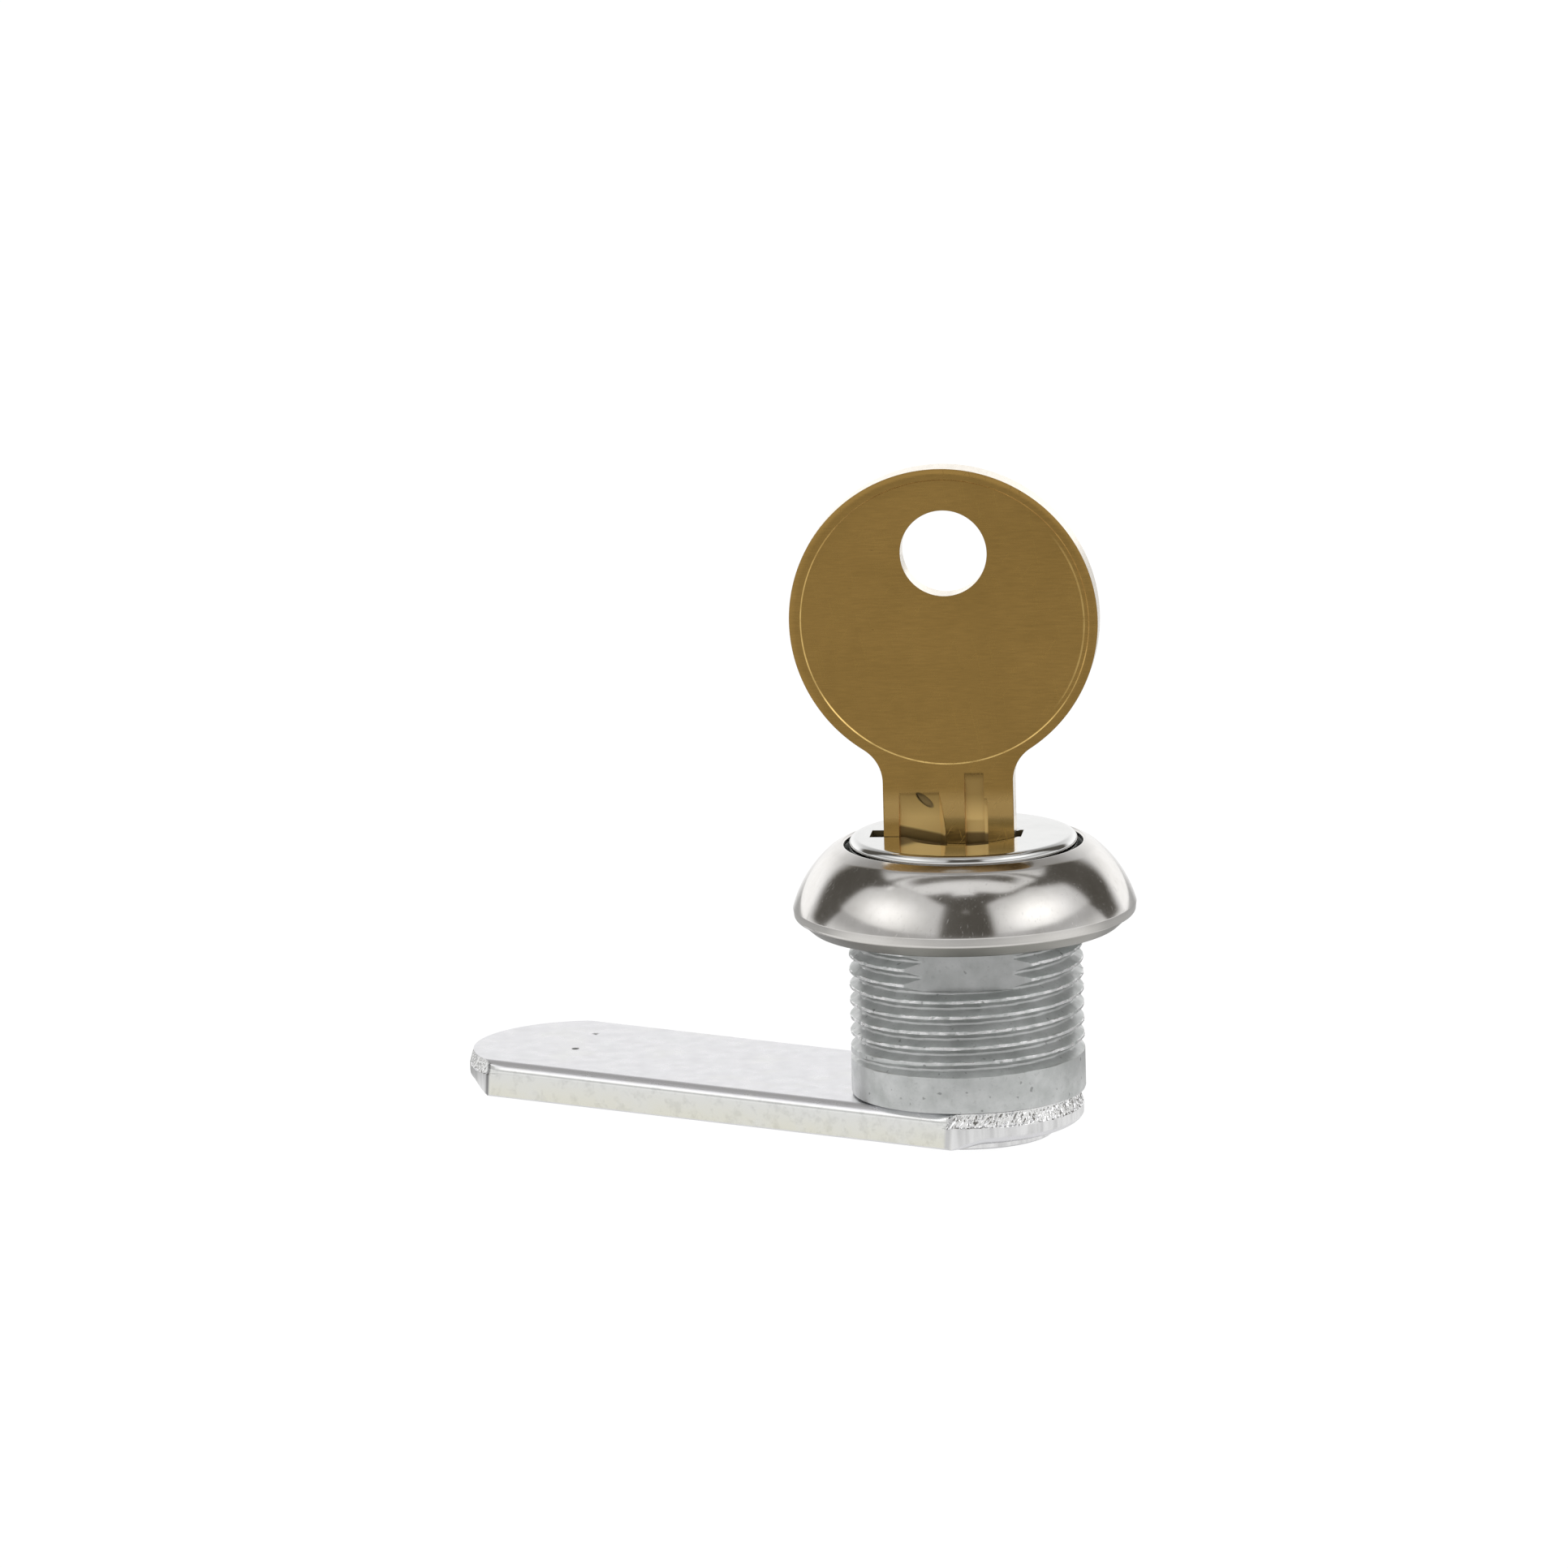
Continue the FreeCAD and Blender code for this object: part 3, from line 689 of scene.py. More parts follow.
class Tree:
    """A short way to write the nodes of one tree."""

    def add(self, kind, inputs=None, **settings):
        node = self.tree.nodes.new(kind)
        for key, value in settings.items():
            setattr(node, key, value)
        for key, value in (inputs or {}).items():
            self.feed(node.inputs[key], value)
        return node

    def feed(self, socket, value):
        if isinstance(value, bpy.types.NodeSocket):
            self.tree.links.new(value, socket)
        else:
            socket.default_value = value

    def math(self, kind, first, second=0.0):
        return self.add("ShaderNodeMath", {0: first, 1: second}, operation=kind).outputs[0]

    def product(self, *values):
        total = values[0]
        for value in values[1:]:
            total = self.math("MULTIPLY", total, value)
        return total

    def length(self, across, up):
        """The length of a level and an upright part together."""
        return self.math("SQRT", self.math("ADD", self.product(across, across), self.product(up, up)))


class Nodes(Tree):
    """A material's nodes."""

    def __init__(self, name):
        self.material = bpy.data.materials.new(name)
        self.material.use_nodes = True
        self.tree = self.material.node_tree
        self.shader = self.tree.nodes["Principled BSDF"]
        own = self.add("ShaderNodeTexCoord")
        self.place = own.outputs["Object"]
        self.normal = own.outputs["Normal"]

    def set(self, **values):
        for key, value in values.items():
            self.feed(self.shader.inputs[key.replace("_", " ").title()], value)
        return self

    def mapped(self, vector, **inputs):
        return self.add("ShaderNodeMapping", {"Vector": vector, **inputs}).outputs["Vector"]

    def noise(self, scale, detail=3.0, roughness=0.5, stretch=None, place=None):
        vector = self.place if place is None else place
        if stretch:
            vector = self.mapped(vector, Scale=stretch)
        return self.add("ShaderNodeTexNoise", {
            "Vector": vector, "Scale": scale, "Detail": detail, "Roughness": roughness}).outputs["Fac"]

    def hairs(self, tilt, scale, low, high, long=0.03):
        """Fine scratches that run up the part, tilted by an angle in degrees."""
        tilted = self.mapped(self.place, Rotation=(0.0, math.radians(tilt), 0.0))
        marks = self.noise(scale, 1.0, 0.5, (1.0, 1.0, long), tilted)
        return self.ramp(marks, (low, 0.0), (high, 1.0))

    def span(self, value, low, high, start=0.0, end=1.0):
        """Goes from start to end as the value goes from low to high."""
        return self.add("ShaderNodeMapRange", {
            "Value": value, "From Min": low, "From Max": high, "To Min": start, "To Max": end,
        }).outputs["Result"]

    def band(self, value, low, high, soft):
        """One between two values, zero outside them."""
        return self.product(self.span(value, low - soft, low), self.span(value, high, high + soft, 1.0, 0.0))

    def dot(self, vector, direction):
        inputs = {0: vector, 1: direction}
        return self.add("ShaderNodeVectorMath", inputs, operation="DOT_PRODUCT").outputs["Value"]

    def along(self, direction):
        """How far a point is along a direction from the origin, in millimetres."""
        return self.dot(self.place, tuple(value / MM for value in direction))

    def facing(self, direction):
        """How squarely the surface faces along a direction, either way."""
        return self.math("ABSOLUTE", self.dot(self.normal, direction))

    def ramp(self, value, *stops):
        """A ramp of (place, colour or grey) stops."""
        node = self.add("ShaderNodeValToRGB", {"Fac": value})
        elements = node.color_ramp.elements
        while len(elements) < len(stops):
            elements.new(0.5)
        for element, (place, colour) in zip(elements, stops):
            element.position = place
            element.color = rgba(colour)
        return node.outputs["Color"]

    def mix(self, share, first, second, kind="MIX"):
        """Goes from the first to the second, each a socket, a colour or a grey."""
        node = self.add("ShaderNodeMix", {"Factor": share}, data_type="RGBA", blend_type=kind)
        for place, value in ((6, first), (7, second)):
            self.feed(node.inputs[place], value if isinstance(value, bpy.types.NodeSocket) else rgba(value))
        return node.outputs[2]

    def bump(self, height, strength, distance):
        node = self.add("ShaderNodeBump", {"Height": height, "Strength": strength, "Distance": distance})
        self.feed(self.shader.inputs["Normal"], node.outputs["Normal"])
        return self


def zinc(name="die_cast_zinc", tint=(1.0, 1.0, 1.0)):
    """Satin die-cast zinc: grey with a green cast, mottled and pitted. The thread's crests are worn bright and
    carry a painted highlight, and its grooves are darker with painted shade.
    """
    n = Nodes(name)
    mottle = n.noise(520.0, 4.0, 0.62)
    blotch = n.noise(300.0, 4.0, 0.65)
    speck = n.noise(2600.0, 3.0, 0.6)
    shades = [(0.3, (0.55, 0.575, 0.56)), (0.5, (0.66, 0.68, 0.67)), (0.72, (0.78, 0.795, 0.79))]
    shades = [(place, tuple(a * b for a, b in zip(shade, tint))) for place, shade in shades]
    flecks = n.ramp(speck, (0.3, 0.62), (0.42, 1.0))
    colour = n.mix(0.35, n.ramp(mottle, *shades), flecks, "MULTIPLY")
    colour = n.mix(0.4, colour, n.ramp(blotch, (0.36, 0.8), (0.6, 1.0)), "MULTIPLY")
    pits = n.ramp(n.noise(1900.0, 1.0, 0.4), (0.23, 0.25), (0.29, 1.0))
    colour = n.mix(0.7, colour, pits, "MULTIPLY")
    flat = n.add("ShaderNodeVectorMath", {0: n.place, 1: (1000.0, 1000.0, 0.0)}, operation="MULTIPLY")
    radius = n.add("ShaderNodeVectorMath", {0: flat.outputs["Vector"]}, operation="LENGTH").outputs["Value"]
    height = n.along(UP)
    threaded = n.product(n.span(height, 3.3, 3.5), n.span(height, 13.6, 13.7, 1.0, 0.0))
    # The thread's crests: partly real wear, partly a painted highlight
    crest = n.product(threaded, n.span(height, 3.9, 4.3), n.span(radius, 9.44, 9.48))
    worn = n.product(crest, n.ramp(n.noise(900.0, 2.0), (0.38, 0.1), (0.6, 1.0)))
    # Inside the crest radius: the thread's grooves, painted darker as shade
    groove_shade = n.product(threaded, n.span(radius, 9.15, 9.4, 1.0, 0.0))
    dark = tuple(0.55 * value for value in tint)
    bright = tuple(0.95 * value for value in tint)
    # Paints shade into the thread's grooves
    colour = n.mix(n.product(groove_shade, 0.4), colour, dark)
    colour = n.mix(n.span(height, 3.5, 3.3, 0.0, 0.15), colour, bright)
    # Paints the crests bright: wear, and a painted highlight
    colour = n.mix(worn, colour, bright)
    n.set(base_color=colour, metallic=0.85,
          roughness=n.mix(worn, n.ramp(mottle, (0.3, 0.44), (0.7, 0.33)), 0.24))
    return n.bump(n.mix(0.5, n.noise(1800.0, 3.0), n.noise(420.0, 2.0)), 0.2, 0.00006).material


def nickel():
    """The bezel's polish: bright, with soft wear and fine scratches, lighter on the lower lip as a painted
    highlight, and darker and duller on the crimped underside, with painted shade.
    """
    n = Nodes("polished_nickel")
    spin = n.noise(60.0, 2.0, 0.5, (1.0, 1.0, 60.0))
    haze = n.noise(240.0, 3.0, 0.6)
    hair = n.math("MAXIMUM", n.hairs(8.0, 7000.0, 0.66, 0.74), n.hairs(-24.0, 6000.0, 0.68, 0.76, 0.05))
    colour = n.ramp(haze, (0.3, (0.65, 0.63, 0.60)), (0.5, (0.71, 0.69, 0.665)), (0.7, (0.77, 0.75, 0.73)))
    height = n.along(UP)
    # Lighter low on the dome's lip: a painted highlight
    colour = n.mix(n.span(height, 15.5, 15.1, 0.0, 0.6), colour, (0.86, 0.84, 0.80))
    # The crimped underside: darker in colour as painted shade, and rougher
    under = n.span(height, 14.6, 14.8, 1.0, 0.0)
    roughness = n.ramp(haze, (0.3, 0.11), (0.7, 0.16))
    roughness = n.mix(n.product(hair, 0.5), roughness, 0.4)
    n.set(base_color=n.mix(under, colour, (0.36, 0.35, 0.32)), metallic=1.0,
          roughness=n.mix(under, roughness, 0.3))
    return n.bump(n.mix(0.4, spin, n.noise(1600.0, 2.0)), 0.09, 0.00002).material


def cap_steel():
    """The plug cap's finish: near white and softly polished, and dark olive and dull on the walls of the key
    slot.
    """
    n = Nodes("polished_cap")
    haze = n.noise(300.0, 3.0, 0.6)
    through = n.math("ABSOLUTE", n.along(key_face()))
    across = n.along(heading(KEY_CLOCKING))
    slot = n.product(n.span(through, SLOT[2] + 0.01, SLOT[2] + 0.03, 1.0, 0.0),
                     n.span(across, SLOT[0] - 0.03, SLOT[0] - 0.01),
                     n.span(across, SLOT[1] + 0.01, SLOT[1] + 0.03, 1.0, 0.0))
    colour = n.ramp(haze, (0.3, (0.69, 0.69, 0.68)), (0.7, (0.77, 0.77, 0.76)))
    n.set(base_color=n.mix(slot, colour, (0.13, 0.10, 0.045)), metallic=n.span(slot, 0.0, 1.0, 1.0, 0.2),
          roughness=n.mix(slot, n.ramp(haze, (0.3, 0.08), (0.7, 0.14)), 0.5))
    return n.bump(n.noise(1500.0, 2.0), 0.06, 0.00002).material


def bow_shade_wear_highlight(n, colour, across, height):
    """Paints shade on the bow's rim, more toward its top, and paints the coined line and the right part of the
    strike line bright, as wear and as a painted highlight.
    """
    def away(centre):
        return n.length(n.math("SUBTRACT", across, centre[0]), n.math("SUBTRACT", height, centre[1]))

    # The bow's rim, darker toward its edge and its top: painted shade
    rim = n.span(away(BOW_CENTRE), 10.4, 12.4, 1.0, 0.82)
    colour = n.mix(n.span(height, 40.0, 51.0, 0.0, 0.6), colour, n.mix(1.0, colour, rim, "MULTIPLY"))
    line = n.band(away(COIN_CENTRE), COIN_RADIUS - 0.08, COIN_RADIUS - 0.01, 0.02)
    strike = n.product(n.band(away(COIN_CENTRE), 11.25, 11.36, 0.03), n.span(across, 7.5, 9.5))
    line = n.math("MAXIMUM", line, n.product(strike, 0.55))
    # The coined and strike lines painted bright: wear, and a painted highlight
    worn = n.product(line, n.ramp(n.noise(1100.0, 2.0), (0.35, 0.6), (0.6, 1.0)))
    return n.mix(worn, colour, (0.86, 0.60, 0.22))


def groove_floors(n, across, height):
    """The milled floors: gold, brighter lower down as a painted reflection of the cap, with a dark foot, a
    painted reflection of the gap around the cap, that slopes with the cap's edge in the wide groove.
    """
    # Brighter toward the foot: a painted reflection of the white cap
    gold_with_painted_reflection = n.mix(n.span(height, 24.6, 22.8), (0.56, 0.36, 0.11), (0.98, 0.68, 0.25))
    wide = n.span(across, -1.4, -1.3, 1.0, 0.0)
    slope = n.math("SUBTRACT", WIDE_FOOT, n.product(across, WIDE_FOOT_SLOPE))
    foot = n.math("SUBTRACT", height, n.mix(wide, NARROW_FOOT, slope))
    # The dark foot: a painted reflection of the dark gap around the cap
    return n.mix(n.span(foot, -0.05, 0.15, 0.85, 0.0), gold_with_painted_reflection, (0.13, 0.075, 0.018))


def dent_shade(n, colour, across, height, deep):
    """Darkens the oval tool mark in the wide groove with painted shade."""
    right = n.math("SUBTRACT", across, DENT_CENTRE[0])
    up = n.math("SUBTRACT", height, DENT_CENTRE[1])
    cos, sin = math.cos(DENT_TILT), math.sin(DENT_TILT)
    along = n.math("ADD", n.product(right, cos), n.product(up, sin))
    beside = n.math("SUBTRACT", n.product(up, cos), n.product(right, sin))
    oval = n.length(n.math("DIVIDE", along, DENT_MASK[0]), n.math("DIVIDE", beside, DENT_MASK[1]))
    dent = n.product(n.span(oval, 0.9, 1.08, 1.0, 0.0), n.span(deep, 0.0, 0.1))
    return n.mix(n.product(dent, n.span(oval, 0.4, 0.9, 0.75, 0.95)), colour, (0.14, 0.095, 0.03))


def brass_key():
    """Fine brushed brass, worn bright on the coined line with a painted highlight, painted shade on the bow's
    rim, pale on its sheared edges as a painted reflection, dull in the grooves, with painted reflections and
    painted shade on the neck.
    """
    n = Nodes("brushed_brass")
    brush = n.noise(800.0, 3.0, 0.6, (1.0, 1.0, 14.0))
    tone = n.noise(160.0, 3.0, 0.6)
    fleck = n.noise(1100.0, 2.0, 0.5, (1.0, 1.0, 1.8))
    height = n.along(UP)
    deep = n.along(key_face())
    across = n.along(heading(KEY_CLOCKING))
    hair = n.math("MAXIMUM", n.hairs(12.0, 6000.0, 0.66, 0.74), n.hairs(-35.0, 5000.0, 0.67, 0.75, 0.05))
    colour = n.ramp(tone, (0.25, (0.425, 0.258, 0.072)), (0.75, (0.50, 0.305, 0.088)))
    colour = n.mix(0.6, colour, n.ramp(fleck, (0.19, 0.4), (0.24, 1.0)), "MULTIPLY")
    colour = n.mix(0.5, colour, n.ramp(brush, (0.3, 0.72), (0.7, 1.0)), "MULTIPLY")
    colour = bow_shade_wear_highlight(n, colour, across, height)
    neck = n.math("ABSOLUTE", n.math("SUBTRACT", across, NECK_OFFSET))
    milled_part = n.product(n.span(neck, 5.2, 5.25, 1.0, 0.0), n.span(height, 27.2, 27.4, 1.0, 0.0))
    wall = n.span(n.facing(key_face()), 0.45, 0.6, 1.0, 0.0)
    # The sheared edges outside the grooves, painted pale: a painted reflection of the white backdrop
    colour = n.mix(n.product(wall, n.math("SUBTRACT", 1.0, milled_part)), colour, (0.97, 0.90, 0.79))
    half = KEY_THICKNESS / 2
    groove = n.product(milled_part, n.span(deep, half - 0.07, half - 0.005, 1.0, 0.0), n.span(deep, 0.0, 0.1))
    floor = n.product(groove, n.span(height, 26.6, 25.8))
    colour = n.mix(n.product(floor, 0.95), colour, groove_floors(n, across, height))
    colour = n.mix(n.product(groove, wall, 0.7), colour, (0.42, 0.2, 0.05))
    # Painted shade in the tool mark
    colour = dent_shade(n, colour, across, height, deep)
    # On the neck's face beside the grooves: a lighter band, a painted reflection of the cap, and below it a
    # darker band of painted shade
    strip = n.product(milled_part, n.span(deep, half - 0.05, half - 0.01))
    painted_reflection_band = n.product(strip, n.span(height, 25.2, 24.0), n.span(height, 22.2, 22.8))
    colour = n.mix(n.product(painted_reflection_band, 0.6), colour, (0.72, 0.48, 0.17))
    shaded = n.product(strip, n.band(height, 22.2, 22.5, 0.5), n.span(across, -2.6, -1.6))
    colour = n.mix(n.product(shaded, 0.5), colour, (0.2, 0.14, 0.045))
    roughness = n.ramp(brush, (0.3, 0.17), (0.7, 0.27))
    roughness = n.mix(n.product(hair, 0.6), roughness, 0.45)
    dull = n.math("MAXIMUM", floor, n.product(painted_reflection_band, 0.5))
    n.set(base_color=colour, metallic=n.span(dull, 0.0, 1.0, 1.0, 0.45),
          roughness=n.mix(floor, roughness, 0.36))
    return n.bump(n.mix(0.5, brush, n.noise(500.0, 3.0)), 0.14, 0.00003).material


def stamped_brass():
    n = Nodes("stamped_brass")
    tone = n.noise(700.0, 3.0, 0.6)
    n.set(base_color=n.ramp(tone, (0.3, (0.62, 0.46, 0.18)), (0.7, (0.74, 0.57, 0.26))), metallic=1.0,
          roughness=n.ramp(tone, (0.3, 0.34), (0.7, 0.24)))
    return n.bump(tone, 0.15, 0.00003).material


def plated_steel():
    """Bright zinc plate: near white and drawn along on top, with a greenish yellow cast low on the edges."""
    n = Nodes("zinc_plate")
    drawn = n.noise(700.0, 3.0, 0.55, (1.0, 1.0, 0.2))
    cast = n.noise(260.0, 3.0, 0.55)
    colour = n.ramp(cast, (0.3, (0.85, 0.855, 0.87)), (0.5, (0.86, 0.855, 0.88)), (0.7, (0.865, 0.865, 0.865)))
    colour = n.mix(0.08, colour, n.ramp(drawn, (0.3, 0.75), (0.6, 1.0)), "MULTIPLY")
    side = n.span(n.facing(UP), 0.35, 0.6, 1.0, 0.0)
    height = n.along(UP)
    low = n.product(n.span(height, -0.8, -2.6), n.ramp(n.noise(300.0, 3.0, 0.6), (0.35, 0.4), (0.6, 1.0)))
    tinted = n.mix(low, (0.90, 0.905, 0.885), (0.90, 0.89, 0.79))
    tinted = n.mix(0.5, tinted, n.ramp(n.noise(900.0, 3.0, 0.7), (0.35, 0.8), (0.5, 1.0)), "MULTIPLY")
    along = n.along(heading(CAM_DIRECTION))
    out = n.math("ABSOLUTE", n.along(heading(CAM_DIRECTION + math.pi / 2)))
    sheared = n.math("MAXIMUM", n.span(along, CAM_CORNER - 0.1, CAM_CORNER + 0.3), n.span(along, -3.2, -3.6))
    streaks = n.ramp(n.noise(1500.0, 2.0, 0.5, (1.0, 1.0, 0.08)), (0.35, 0.78), (0.6, 1.0))
    streaked = n.mix(1.0, 0.95, streaks, "MULTIPLY")
    tinted = n.mix(sheared, tinted, n.mix(n.span(height, -1.35, -1.15), streaked, (0.99, 0.99, 0.98)))
    colour = n.mix(side, colour, tinted)
    # Dark lines down the sides where they meet the sheared ends: painted shade at the corners
    curve = n.product(n.math("ADD", height, 1.5), 0.09)
    for place, width, shade in ((CAM_CORNER + 0.15, 0.3, 0.3), (-3.35, 0.35, 0.7)):
        near = n.math("ABSOLUTE", n.math("SUBTRACT", n.math("ADD", along, curve), place))
        mark = n.product(n.span(near, width * 0.3, width, 1.0, 0.0), n.span(out, 7.9, 8.2))
        colour = n.mix(n.product(mark, side), colour, shade)
    # Darker inside the two nicks on top: painted shade
    nick_shade = n.product(n.span(height, CAM_TOP - 0.06, CAM_TOP - 0.02, 1.0, 0.0), n.span(out, 7.5, 7.6, 1.0, 0.0),
                    n.span(along, 20.0, 21.0), n.span(height, -0.6, -0.5))
    colour = n.mix(n.product(nick_shade, n.math("SUBTRACT", 1.0, sheared)), colour, 0.25)
    n.set(base_color=colour, metallic=1.0,
          roughness=n.mix(side, n.ramp(drawn, (0.3, 0.32), (0.7, 0.26)), 0.2))
    return n.bump(n.mix(0.5, drawn, n.noise(1500.0, 2.0)), 0.06, 0.00002).material


def spring_wire():
    n = Nodes("drawn_wire")
    n.set(base_color=n.ramp(n.noise(900.0), (0.3, (0.42, 0.42, 0.43)), (0.7, (0.6, 0.6, 0.61))),
          metallic=1.0, roughness=0.3)
    return n.material


def paint(obj, material):
    obj.data.materials.clear()
    obj.data.materials.append(material)


def dress(obj, material, body, node):
    """Gives a piece its material, slot and body, and stands it for a node."""
    paint(obj, material)
    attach(obj, body)
    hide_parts(node)


def look_from_photo():
    """The camera that was fitted to the photograph: a long lens, a little above, rolled a touch."""
    height = math.radians(11.801)
    roll = math.radians(-1.454)
    distance = 1.3497
    across = 0.01505
    up = -0.024753
    pixels_per_metre = 15153.0
    image = 1932
    forward = Vector((0, math.cos(height), -math.sin(height)))
    right = Vector((1, 0, 0))
    top = Vector((0, math.sin(height), math.cos(height)))
    turned_right = right * math.cos(roll) + top * math.sin(roll)
    turned_top = top * math.cos(roll) - right * math.sin(roll)
    place = -turned_right * across - turned_top * up - forward * distance
    data = bpy.data.cameras.new("camera")
    data.sensor_width = 36.0
    data.lens = pixels_per_metre * distance / image * data.sensor_width
    data.clip_start = 0.1
    data.clip_end = 20.0
    camera = bpy.data.objects.new("camera", data)
    rotation = Matrix((turned_right, turned_top, -forward)).transposed()
    camera.matrix_world = Matrix.Translation(place) @ rotation.to_4x4()
    bpy.context.scene.collection.objects.link(camera)
    bpy.context.scene.camera = camera


class Room(Tree):
    """The world's nodes. Directions are degrees: azimuth 0 is the camera, 90 is right, 180 is behind."""

    def __init__(self):
        world = bpy.data.worlds.new("studio")
        world.use_nodes = True
        bpy.context.scene.world = world
        self.tree = world.node_tree
        place = self.add("ShaderNodeTexCoord").outputs["Generated"]
        axes = self.add("ShaderNodeSeparateXYZ", {"Vector": place})
        self.x = axes.outputs["X"]
        self.y = axes.outputs["Y"]
        near = self.math("MULTIPLY", self.y, -1.0)
        self.azimuth = self.math("DEGREES", self.math("ARCTAN2", self.x, near))
        self.aside = self.math("ABSOLUTE", self.azimuth)
        self.elevation = self.math("DEGREES", self.math("ARCSINE", axes.outputs["Z"]))

    def step(self, value, low, high, start=0.0, end=1.0):
        """Goes smoothly from start to end as the value goes from low to high."""
        return self.add("ShaderNodeMapRange", {
            "Value": value, "From Min": low, "From Max": high, "To Min": start, "To Max": end,
        }, interpolation_type="SMOOTHSTEP").outputs["Result"]

    def span(self, value, low, high, soft):
        """One inside a span and zero outside it."""
        return self.product(self.step(value, low - soft, low + soft),
                            self.step(value, high - soft, high + soft, 1.0, 0.0))

    def far(self, centre, reach):
        """The distance from a direction, as a share of a reach across and up."""
        across = self.math("DIVIDE", self.math("SUBTRACT", self.azimuth, centre[0]), reach[0])
        up = self.math("DIVIDE", self.math("SUBTRACT", self.elevation, centre[1]), reach[1])
        return self.length(across, up)

    def soft_box(self, centre, reach, sides, top, cut, level):
        """A lit panel, brightest in its middle, whose far upper corner is cut off along a slope."""
        lamp = self.step(self.far(centre, reach), 0.0, 1.0, level, SOFT_BOX_EDGE)
        outside = self.math("ADD", self.math("MULTIPLY", self.aside, cut[0]), self.elevation)
        inside = self.math("SUBTRACT", self.elevation, self.math("MULTIPLY", self.aside, 0.3))
        return self.product(lamp, self.span(self.azimuth, *sides, 4.0), self.span(self.elevation, 22, top, 2.5),
                            self.step(outside, cut[1] - 3, cut[1] + 3, 1.0, 0.0),
                            self.step(inside, 45, 49, 1.0, 0.0))


def studio_light():
    """The room that the polished parts show: a soft box on each side of the camera, a diffuser overhead with
    a dark slot and a bright edge, a white wall behind, and dark gaps. To the camera the room is plain white."""
    room = Room()
    left = room.soft_box((-64, 36), (40, 22), (-103, -19), 60.5, (0.7, 116.5), LEFT_BOX)
    right = room.soft_box((58, 35.5), (42, 23), (20, 103), 57.5, (0.52, 96.5), RIGHT_BOX)
    round_low = room.math("ADD", room.aside, room.step(room.elevation, 8, 30, 10.0, 0.0))
    wall = room.product(room.step(round_low, 130, 146), room.step(room.aside, 150, 178, 1.0, 0.86),
                        room.step(room.elevation, 9, 46, 1.0, 0.3), BACK_WALL)
    horizon = room.math("SUBTRACT", room.elevation, room.step(room.aside, 98, 112, 24.5, 5.0))
    horizon = room.math("ADD", horizon, room.step(room.aside, 16, 24, 4.0, 0.0))
    low = room.product(room.step(horizon, -1.5, 1.5, 1.0, 0.0), LOW_WALL,
                       room.step(room.elevation, 5, 18, 1.8, 1.0))
    slot = room.product(room.span(room.y, -0.15, -0.015, 0.015), room.step(room.elevation, 60, 70))
    hoop = room.product(room.span(room.aside, 94, 100, 2.5), room.step(room.elevation, 78, 86, 1.0, 0.0))
    shade = room.math("SUBTRACT", 1.0, room.product(room.math("MAXIMUM", slot, hoop), 0.85))
    edge = room.math("ADD", room.step(room.aside, 18, 54, 66.5, 59.7),
                     room.step(room.aside, 65, 130, 0.0, -7.0))
    above = room.math("SUBTRACT", room.elevation, edge)
    overhead = room.product(room.step(above, -2.0, 2.0), shade,
                            room.step(room.aside, 98, 125, 1.0, 0.45), OVERHEAD)
    strip = room.product(room.span(room.y, -0.428, -0.39, 0.004), room.span(room.x, -0.12, 0.09, 0.01),
                         room.step(room.elevation, 50, 60), STRIP)
    spot = room.math("MAXIMUM", room.step(room.far((0, 47), (5, 3)), 0.2, 1.0, 0.4, 0.0),
                     room.step(room.far((-87, 54), (4, 4)), 0.3, 1.0, 1.3, 0.0))
    light = DARK_GAP
    for part in (left, right, wall, low, overhead, strip, spot):
        light = room.math("MAXIMUM", part, light)
    tone = room.add("ShaderNodeMix", {0: room.step(light, 0.1, 0.5), 6: (1.0, 0.93, 0.82, 1.0), 7: rgba(1.0)},
                    data_type="RGBA")
    back = room.tree.nodes["Background"]
    room.feed(back.inputs["Color"], tone.outputs[2])
    room.feed(back.inputs["Strength"], light)
    seen = room.add("ShaderNodeBackground", {"Color": rgba(1.0), "Strength": 1.0})
    paths = room.add("ShaderNodeLightPath")
    through = room.math("MAXIMUM", paths.outputs["Is Camera Ray"], paths.outputs["Is Transmission Ray"])
    both = room.add("ShaderNodeMixShader", {0: through, 1: back.outputs[0], 2: seen.outputs[0]})
    room.feed(room.tree.nodes["World Output"].inputs["Surface"], both.outputs[0])


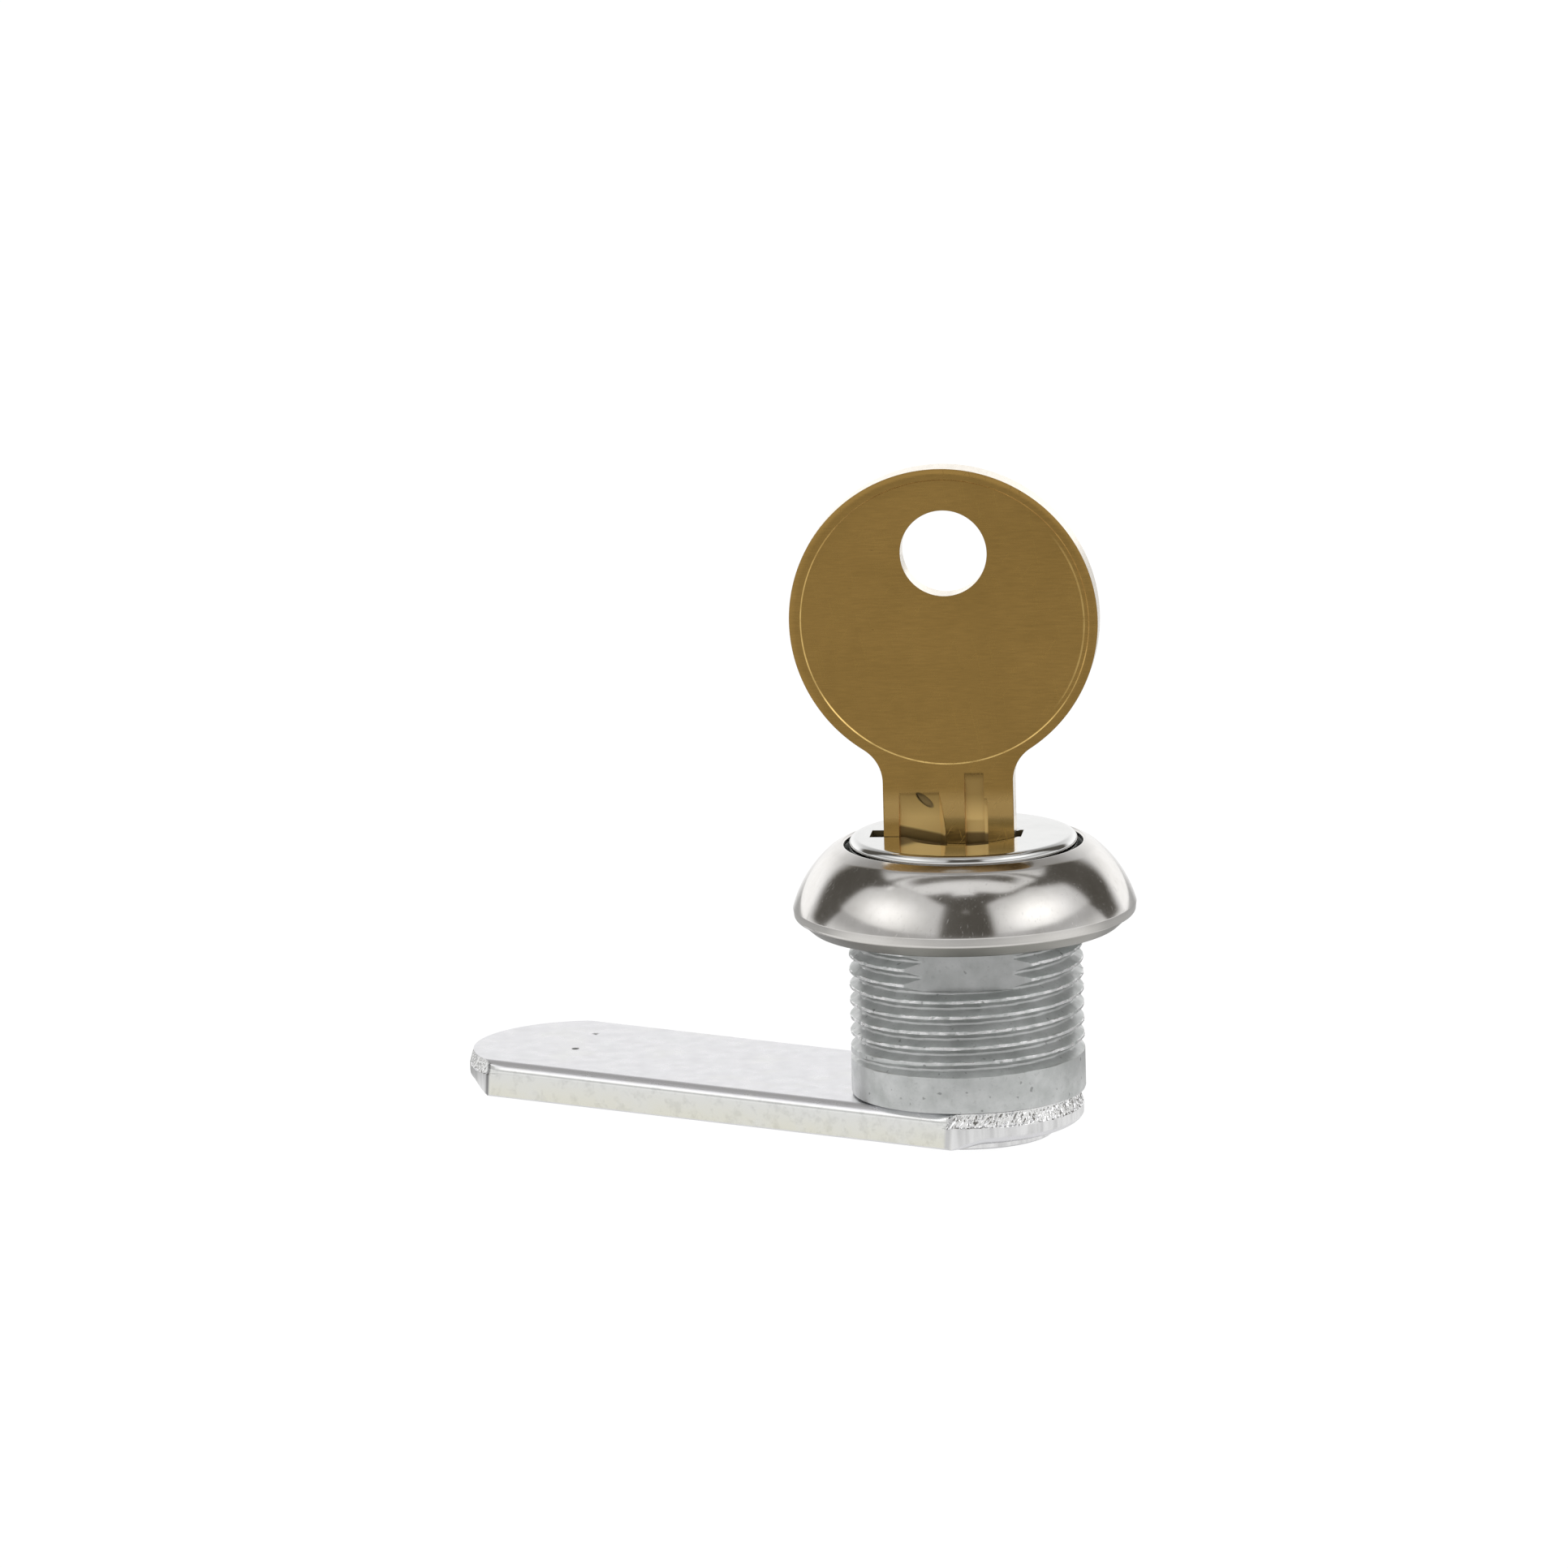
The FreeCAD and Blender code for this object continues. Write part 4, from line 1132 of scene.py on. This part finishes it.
def make_floor():
    """A wide pale floor that keeps a soft shadow. The camera sees it nearly white. Away from the object's
    foot, the polished metal sees it at a brightness that goes with the direction around the object."""
    size = 3000
    floor = new_object("floor", [(-size, -size, 0), (size, -size, 0), (size, size, 0), (-size, size, 0)],
                       [(0, 1, 2, 3)])
    floor.location.z = FLOOR - 0.00002
    n = Nodes("pale_floor")
    n.set(base_color=rgba(0.8), roughness=0.7)
    white = n.add("ShaderNodeEmission", {"Color": rgba(1.0), "Strength": 1.12})
    paths = n.add("ShaderNodeLightPath")
    axes = n.add("ShaderNodeSeparateXYZ", {"Vector": n.place})
    around = n.math("ABSOLUTE", n.math("ARCTAN2", axes.outputs["X"], n.product(axes.outputs["Y"], -1.0)))
    turn = n.math("DIVIDE", around, math.pi)
    level = n.ramp(turn, (0.0, 0.5), (0.12, 0.58), (0.33, 0.86), (0.44, 0.82), (0.58, 0.45), (0.86, 0.45),
                   (0.92, 1.0), (1.0, 1.25))
    aside = n.along(heading(CAM_DIRECTION + math.pi / 2))
    ahead = n.along(heading(CAM_DIRECTION))
    beside_cam = n.product(n.span(aside, 0.0, 5.0), n.span(aside, 35.0, 50.0, 1.0, 0.0),
                           n.span(ahead, -10.0, 0.0), n.span(ahead, 50.0, 60.0, 1.0, 0.0))
    reach = n.add("ShaderNodeVectorMath", {0: n.place}, operation="LENGTH").outputs["Value"]
    near = n.math("MAXIMUM", beside_cam, n.span(reach, 0.027, 0.032, 1.0, 0.0))
    level = n.mix(near, level, 0.86)
    mirrored = n.add("ShaderNodeEmission", {"Color": level, "Strength": 1.0})
    share = n.product(paths.outputs["Is Glossy Ray"], n.span(reach, 0.0055, 0.0075, 0.0, 0.85))
    wide = n.add("ShaderNodeMixShader", {0: share, 1: n.shader.outputs[0], 2: mirrored.outputs[0]})
    seen = n.math("MAXIMUM", paths.outputs["Is Camera Ray"], paths.outputs["Is Transmission Ray"])
    seen = n.product(seen, 0.88)
    both = n.add("ShaderNodeMixShader", {0: seen, 1: wide.outputs[0], 2: white.outputs[0]})
    n.feed(n.tree.nodes["Material Output"].inputs["Surface"], both.outputs[0])
    floor.data.materials.append(n.material)


def dress_lock():
    steel = plated_steel()
    wafer_brass = stamped_brass()
    wire = spring_wire()
    oiled = zinc("oiled_zinc", (0.42, 0.36, 0.27))
    dress(make_housing(), zinc(), "housing", "housing")
    dress(make_bezel(), nickel(), "housing", "bezel")
    dress(make_plug_cap(), cap_steel(), "plug", "plug_cap")
    dress(make_key(), brass_key(), "key", "key")
    dress(make_cam(), steel, "plug", "cam")
    dress(make_washer(), steel, "plug", "cam_washer")
    dress(make_screw(), steel, "plug", "cam_screw")
    for name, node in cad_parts.items():
        if name.startswith("wafer_spring") or name == "retainer_spring":
            paint(node, wire)
        elif name.startswith("wafer_") or name == "retainer":
            paint(node, wafer_brass)
        elif name == "plug":
            paint(node, oiled)


look_from_photo()
studio_light()
make_floor()
dress_lock()

bpy.context.scene.view_settings.view_transform = "Standard"
bpy.context.view_layer.update()
